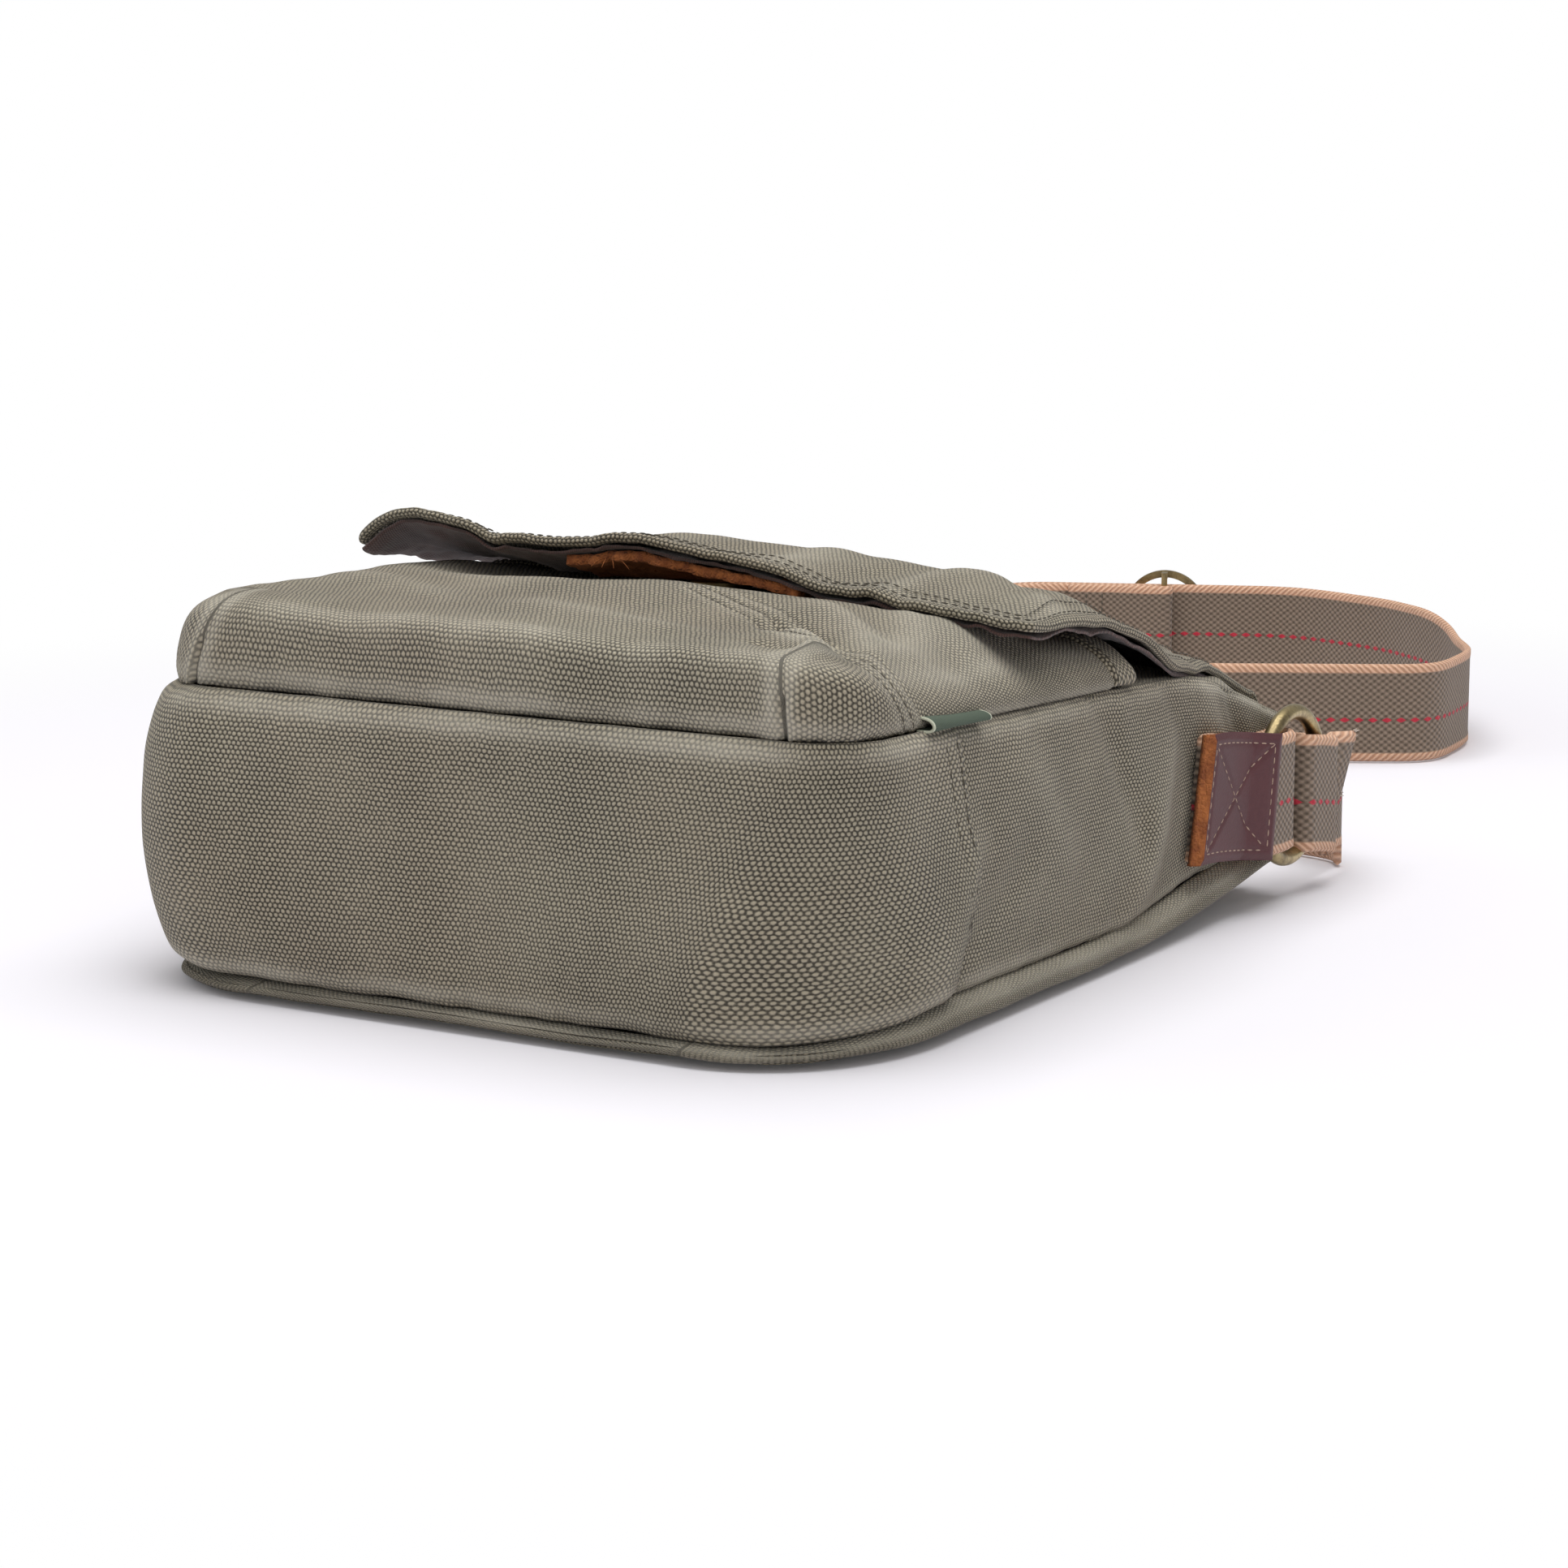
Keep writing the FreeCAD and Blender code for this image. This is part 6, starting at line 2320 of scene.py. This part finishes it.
    def frayed(self, long: Array) -> bpy.types.Object:
        """Pale fibres at the strap's cut end by the right ring."""
        strands = []
        spread = np.random.RandomState(8)
        start = long[0]
        for k in range(self.strands):
            height = -18 + 36 * k / (self.strands - 1)
            z = 9.0 + self.width / 2 + height + spread.uniform(-0.4, 0.4)
            y = start[1] + 12.0 * height / 19 - 0.6
            length = spread.uniform(1.0, 2.6)
            t = np.linspace(0, 1, 6)[:, None]
            bend = np.array([spread.uniform(0.0, 0.9), length, spread.uniform(-0.7, 0.7)])
            strands.append(np.array([start[0] + spread.uniform(-0.7, 0.9), y, z]) + bend * t)
        fibres = whiskers("strap_end_fibres", strands, 0.34)
        self.wardrobe.dress(fibres, Cloths.FLUFF)
        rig.ride(fibres, "bag")
        return fibres


@dataclass
class Tab:
    """Webbing tab on a side gusset, folded round its ring, with a leather patch."""

    strap: Strap
    hand: int
    start_y: float = 66.0
    sewn_y: float = 96.0
    leather_length: float = 41.0
    leather_height: float = 39.0
    tilt: float = 5.0
    lean: float = 9.0
    stitch_in: float = 3.2

    def rise(self, y: Array) -> Array:
        """How much the sewn end stands higher than the ring's end."""
        return self.tilt * (1 - ease(self.start_y, 118.0, y))

    def build(self) -> list[bpy.types.Object]:
        """Webbing, leather and thread of one tab."""
        strap, hand = self.strap, self.hand
        name = "right" if hand > 0 else "left"
        fold = strap.sizes.ring[1] - 5.1
        inner, outer, sewn = strap.inner_x, strap.outer_x, strap.sewn_x
        plan = rounded(
            [(inner, self.start_y + 2.6), (inner, fold), (outer, fold), (outer, fold - 20),
             (sewn, self.sewn_y), (sewn, self.start_y + 2.6)],
            [strap.fold_radius, strap.fold_radius, 8, 8],
        )
        plan = resampled(plan, 1.2)
        if hand < 0:
            plan[:, 0] *= -1
        low = strap.sizes.ring[2] - strap.width / 2 + self.rise(plan[:, 1])
        web = strap.ribbon("tab_web_" + name, plan, low, self.lean / 2, self.lean / 2)
        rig.replaces(web, "tab_webbing_" + name)

        def skin(u: Array, v: Array, lift: float = 0.0) -> Array:
            y = self.start_y - 0.5 + (self.leather_length + 1.0) * u
            base = sewn + strap.thick / 2 + 0.1
            x = base + (outer - sewn) * np.clip((y - self.sewn_y) / (fold - 20 - self.sewn_y), 0, 1)
            from_ends = np.minimum(u, 1 - u) * self.leather_length
            edge = np.minimum(from_ends, np.minimum(v, 1 - v) * self.leather_height)
            puff = 2.2 * ease(0, 2.6, edge) * 0.45 + 1.4
            crossed = 0.5 * hump(self.cross(u, v), 0.9) * (edge > 4)
            dent = 0.35 * hump(edge - self.stitch_in, 0.8) + crossed
            x = x + puff - dent + lift
            z = strap.sizes.ring[2] + self.rise(y) + self.leather_height * (v - 0.5)
            curl = -2.2 * (1 - ease(0, 2.4, self.leather_length * u))
            return rows(hand * (x + curl), y + self.lean * (v - 0.5) * (1 - 0.35 * u), z)

        def flat(u: Array, v: Array) -> Array:
            return rows(u * self.leather_length, v * self.leather_height)

        leather = cloth("tab_patch_" + name, (76, 72), skin, flat, 2.0, flip=hand < 0)
        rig.replaces(leather, "tab_leather_" + name)
        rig.slot(leather, "brown_leather")
        strap.wardrobe.dress(leather, Cloths.BROWN, Cloths.RAW)
        self.raw(leather)
        t = np.linspace(0, 1, 60)
        e, g = self.stitch_in / self.leather_length, self.stitch_in / self.leather_height
        along, up = e + (1 - 2 * e) * t, g + (1 - 2 * g) * t
        lines = [
            (e + 0 * t, up), (1 - e + 0 * t, up), (along, g + 0 * t), (along, 1 - g + 0 * t),
            (along, up), (along, 1 - g - (1 - 2 * g) * t),
        ]
        seams = [on_sheet(skin, u, v, flip=hand < 0) for u, v in lines]
        thread = strap.thread.sew(
            "tab_stitch_" + name, seams, length=2.1, gap=1.1, thickness=0.5, sunk=0.02,
        )
        strap.wardrobe.dress(thread, Cloths.PALE)
        made = [web, leather, thread]
        for piece in made:
            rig.ride(piece, "bag")
        return made

    def cross(self, u: Array, v: Array) -> Array:
        """Distance from the two crossing lines of stitches."""
        a, b = (np.abs(u - other) * self.leather_length * 0.7 for other in (v, 1 - v))
        return np.minimum(a, b)

    def raw(self, leather: bpy.types.Object) -> None:
        """Raw orange finish on the patch's cut edges."""
        centre = faces_read(leather, "center") / MM
        side = np.abs(faces_read(leather, "normal")[:, 0]) < 0.6
        lean = self.lean * (centre[:, 2] - self.strap.sizes.ring[2]) / self.leather_height
        near_end = centre[:, 1] - lean < self.start_y + 0.5
        second_finish(leather, side | near_end)


@dataclass
class Label:
    """Blank woven label, folded double and caught in the front seam."""

    wardrobe: Wardrobe
    reach: float = 4.8

    def build(self) -> bpy.types.Object:
        """The label."""
        low, high = (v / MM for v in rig.box("folded_label"))
        x0 = low.x - 1.5
        middle = (low.z + high.z) / 2 + 0.6
        length = high.y - low.y

        def place(u: Array, v: Array) -> Array:
            s = (v - 0.5) * 2
            gape = 0.6 + 0.9 * (1 - u) ** 2
            x = x0 + self.reach * np.cos(s * math.pi / 2) ** 0.6
            z = middle + gape * np.sin(s * math.pi / 2) - 0.6 * (1 - np.abs(s)) + 2.2 - 1.4 * u
            return rows(x, low.y + length * u, z)

        def flat(u: Array, v: Array) -> Array:
            return rows(length * (u - 0.5), 20 * (v - 0.5))

        label = cloth("seam_label", (50, 40), place, flat, 0.7, flip=True)
        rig.replaces(label, "folded_label")
        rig.slot(label, "label_tape")
        self.wardrobe.dress(label, Cloths.TAPE)
        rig.ride(label, "bag")
        return label


# ---------------------------------------------------------------- stage
@dataclass
class Studio:
    """Pale floor, soft lamps and the camera."""

    eye: Point = (0.5735, -0.937, 0.237)
    azimuth: float = 30.9
    pitch: float = 9.9
    lens: float = 84.78
    floor_colour: Colour = (0.855, 0.84, 0.885)
    shadow_reach: float = 0.52

    LAMPS = (
        ("overhead", (0.1, 0.1, 1.7), (0, 0.1, 0), 1.7, 29.0, (1.0, 0.995, 0.99)),
        ("front", (0.9, -1.5, 1.0), (0, 0, 0.05), 1.4, 4.6, (1.0, 0.985, 0.965)),
        ("left", (-1.3, -0.9, 0.9), (0, 0, 0.05), 1.2, 3.5, (0.98, 0.99, 1.0)),
    )

    def camera(self) -> None:
        """Places the camera."""
        data = bpy.data.cameras.new("camera")
        data.lens, data.sensor_width = self.lens, 36.0
        data.clip_start, data.clip_end = 0.05, 60.0
        camera = bpy.data.objects.new("camera", data)
        bpy.context.scene.collection.objects.link(camera)
        a, e = math.radians(self.azimuth), math.radians(self.pitch)
        back = Vector((math.sin(a) * math.cos(e), -math.cos(a) * math.cos(e), math.sin(e)))
        camera.location = self.eye
        camera.rotation_euler = (-back).to_track_quat("-Z", "Y").to_euler()
        bpy.context.scene.camera = camera

    def lamp(
        self, name: str, place: Point, aim: Point, size: float, power: float, colour: Colour
    ) -> None:
        """Adds a square soft lamp."""
        data = bpy.data.lights.new(name, "AREA")
        data.shape, data.size, data.energy, data.color = "SQUARE", size, power, colour
        lamp = bpy.data.objects.new(name, data)
        bpy.context.scene.collection.objects.link(lamp)
        lamp.location = place
        lamp.rotation_euler = (Vector(aim) - Vector(place)).to_track_quat("-Z", "Y").to_euler()

    def floor(self) -> None:
        """A white floor that keeps the bag's soft shadow."""
        bpy.ops.object.select_all(action="DESELECT")
        bpy.ops.mesh.primitive_plane_add(size=40.0, location=(0, 0, -0.0006))
        plane = bpy.context.object
        plane.name = "floor"
        bpy.ops.object.transform_apply()
        material = bpy.data.materials.new("floor")
        material.use_nodes = True
        tree = material.node_tree
        tree.nodes.clear()
        solid = add(tree, "ShaderNodeTexCoord", {}, {}, "Object")
        under_bag = {0: solid, 1: (0.0, 0.15, 0.0)}
        middle = add(tree, "ShaderNodeVectorMath", {"operation": "SUBTRACT"}, under_bag)
        far = add(tree, "ShaderNodeVectorMath", {"operation": "LENGTH"}, {0: middle}, "Value")
        seen, gloss, through_glass = (
            add(tree, "ShaderNodeLightPath", {}, {}, f"Is {ray} Ray")
            for ray in ("Camera", "Glossy", "Transmission")
        )
        looks = seen.math("MAXIMUM", seen, gloss.math("MAXIMUM", gloss, through_glass))
        share = (far.over(self.shadow_reach, 0.18) * 0.97 + 0.03) * looks
        matte = add(tree, "ShaderNodeBsdfDiffuse", {}, {"Color": self.floor_colour})
        glow = add(tree, "ShaderNodeEmission", {}, {"Color": (1.0, 1.0, 1.0), "Strength": 1.0})
        node = tree.nodes.new("ShaderNodeMixShader")
        tree.links.new(share.socket, node.inputs[0])
        tree.links.new(matte.socket, node.inputs[1])
        tree.links.new(glow.socket, node.inputs[2])
        out = tree.nodes.new("ShaderNodeOutputMaterial")
        tree.links.new(node.outputs[0], out.inputs["Surface"])
        plane.data.materials.append(material)
        plane.select_set(False)
        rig.stage(plane)

    def world(self) -> None:
        """Even pale light from all round, white where it is seen."""
        world = bpy.data.worlds.new("studio")
        bpy.context.scene.world = world
        world.use_nodes = True
        tree = world.node_tree
        tree.nodes.clear()
        seen = add(tree, "ShaderNodeLightPath", {}, {}, "Is Camera Ray")
        strength = seen * 0.62 + 0.38
        glow = add(tree, "ShaderNodeBackground", {}, {"Color": (1.0, 1.0, 1.0), "Strength": strength})
        out = tree.nodes.new("ShaderNodeOutputWorld")
        tree.links.new(glow.socket, out.inputs["Surface"])

    def build(self) -> None:
        """Everything round the bag."""
        self.camera()
        self.floor()
        self.world()
        for lamp in self.LAMPS:
            self.lamp(*lamp)


def main() -> None:
    """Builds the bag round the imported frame."""
    logging.basicConfig(level=logging.INFO, format="%(message)s")
    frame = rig.load()
    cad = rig.bounds()
    LOG.info("frame with %d nodes", len(frame["nodes"]))
    Studio().build()
    sizes = Sizes.read()
    wardrobe, thread = Wardrobe(), Thread()
    plan = Plan(sizes)
    body = Body(sizes, plan, wardrobe, thread)
    pocket = Pocket(sizes, wardrobe, thread)
    flap = Flap(sizes, wardrobe, thread)
    strap = Strap(sizes, wardrobe, thread)
    made = body.build() + pocket.build() + flap.build()
    made += Snap(flap, wardrobe).build()
    made += strap.build()
    for hand in (1, -1):
        made += Tab(strap, hand).build()
    made.append(Label(wardrobe).build())
    for piece in made:
        LOG.info("made %s: %d faces", piece.name, len(piece.data.polygons))
    bpy.context.scene.view_settings.view_transform = "Standard"
    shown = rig.bounds()
    with open("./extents.json", "w") as out:
        json.dump({"cad": [list(v) for v in cad], "visual": [list(v) for v in shown]}, out)


if __name__ == "__main__":
    main()
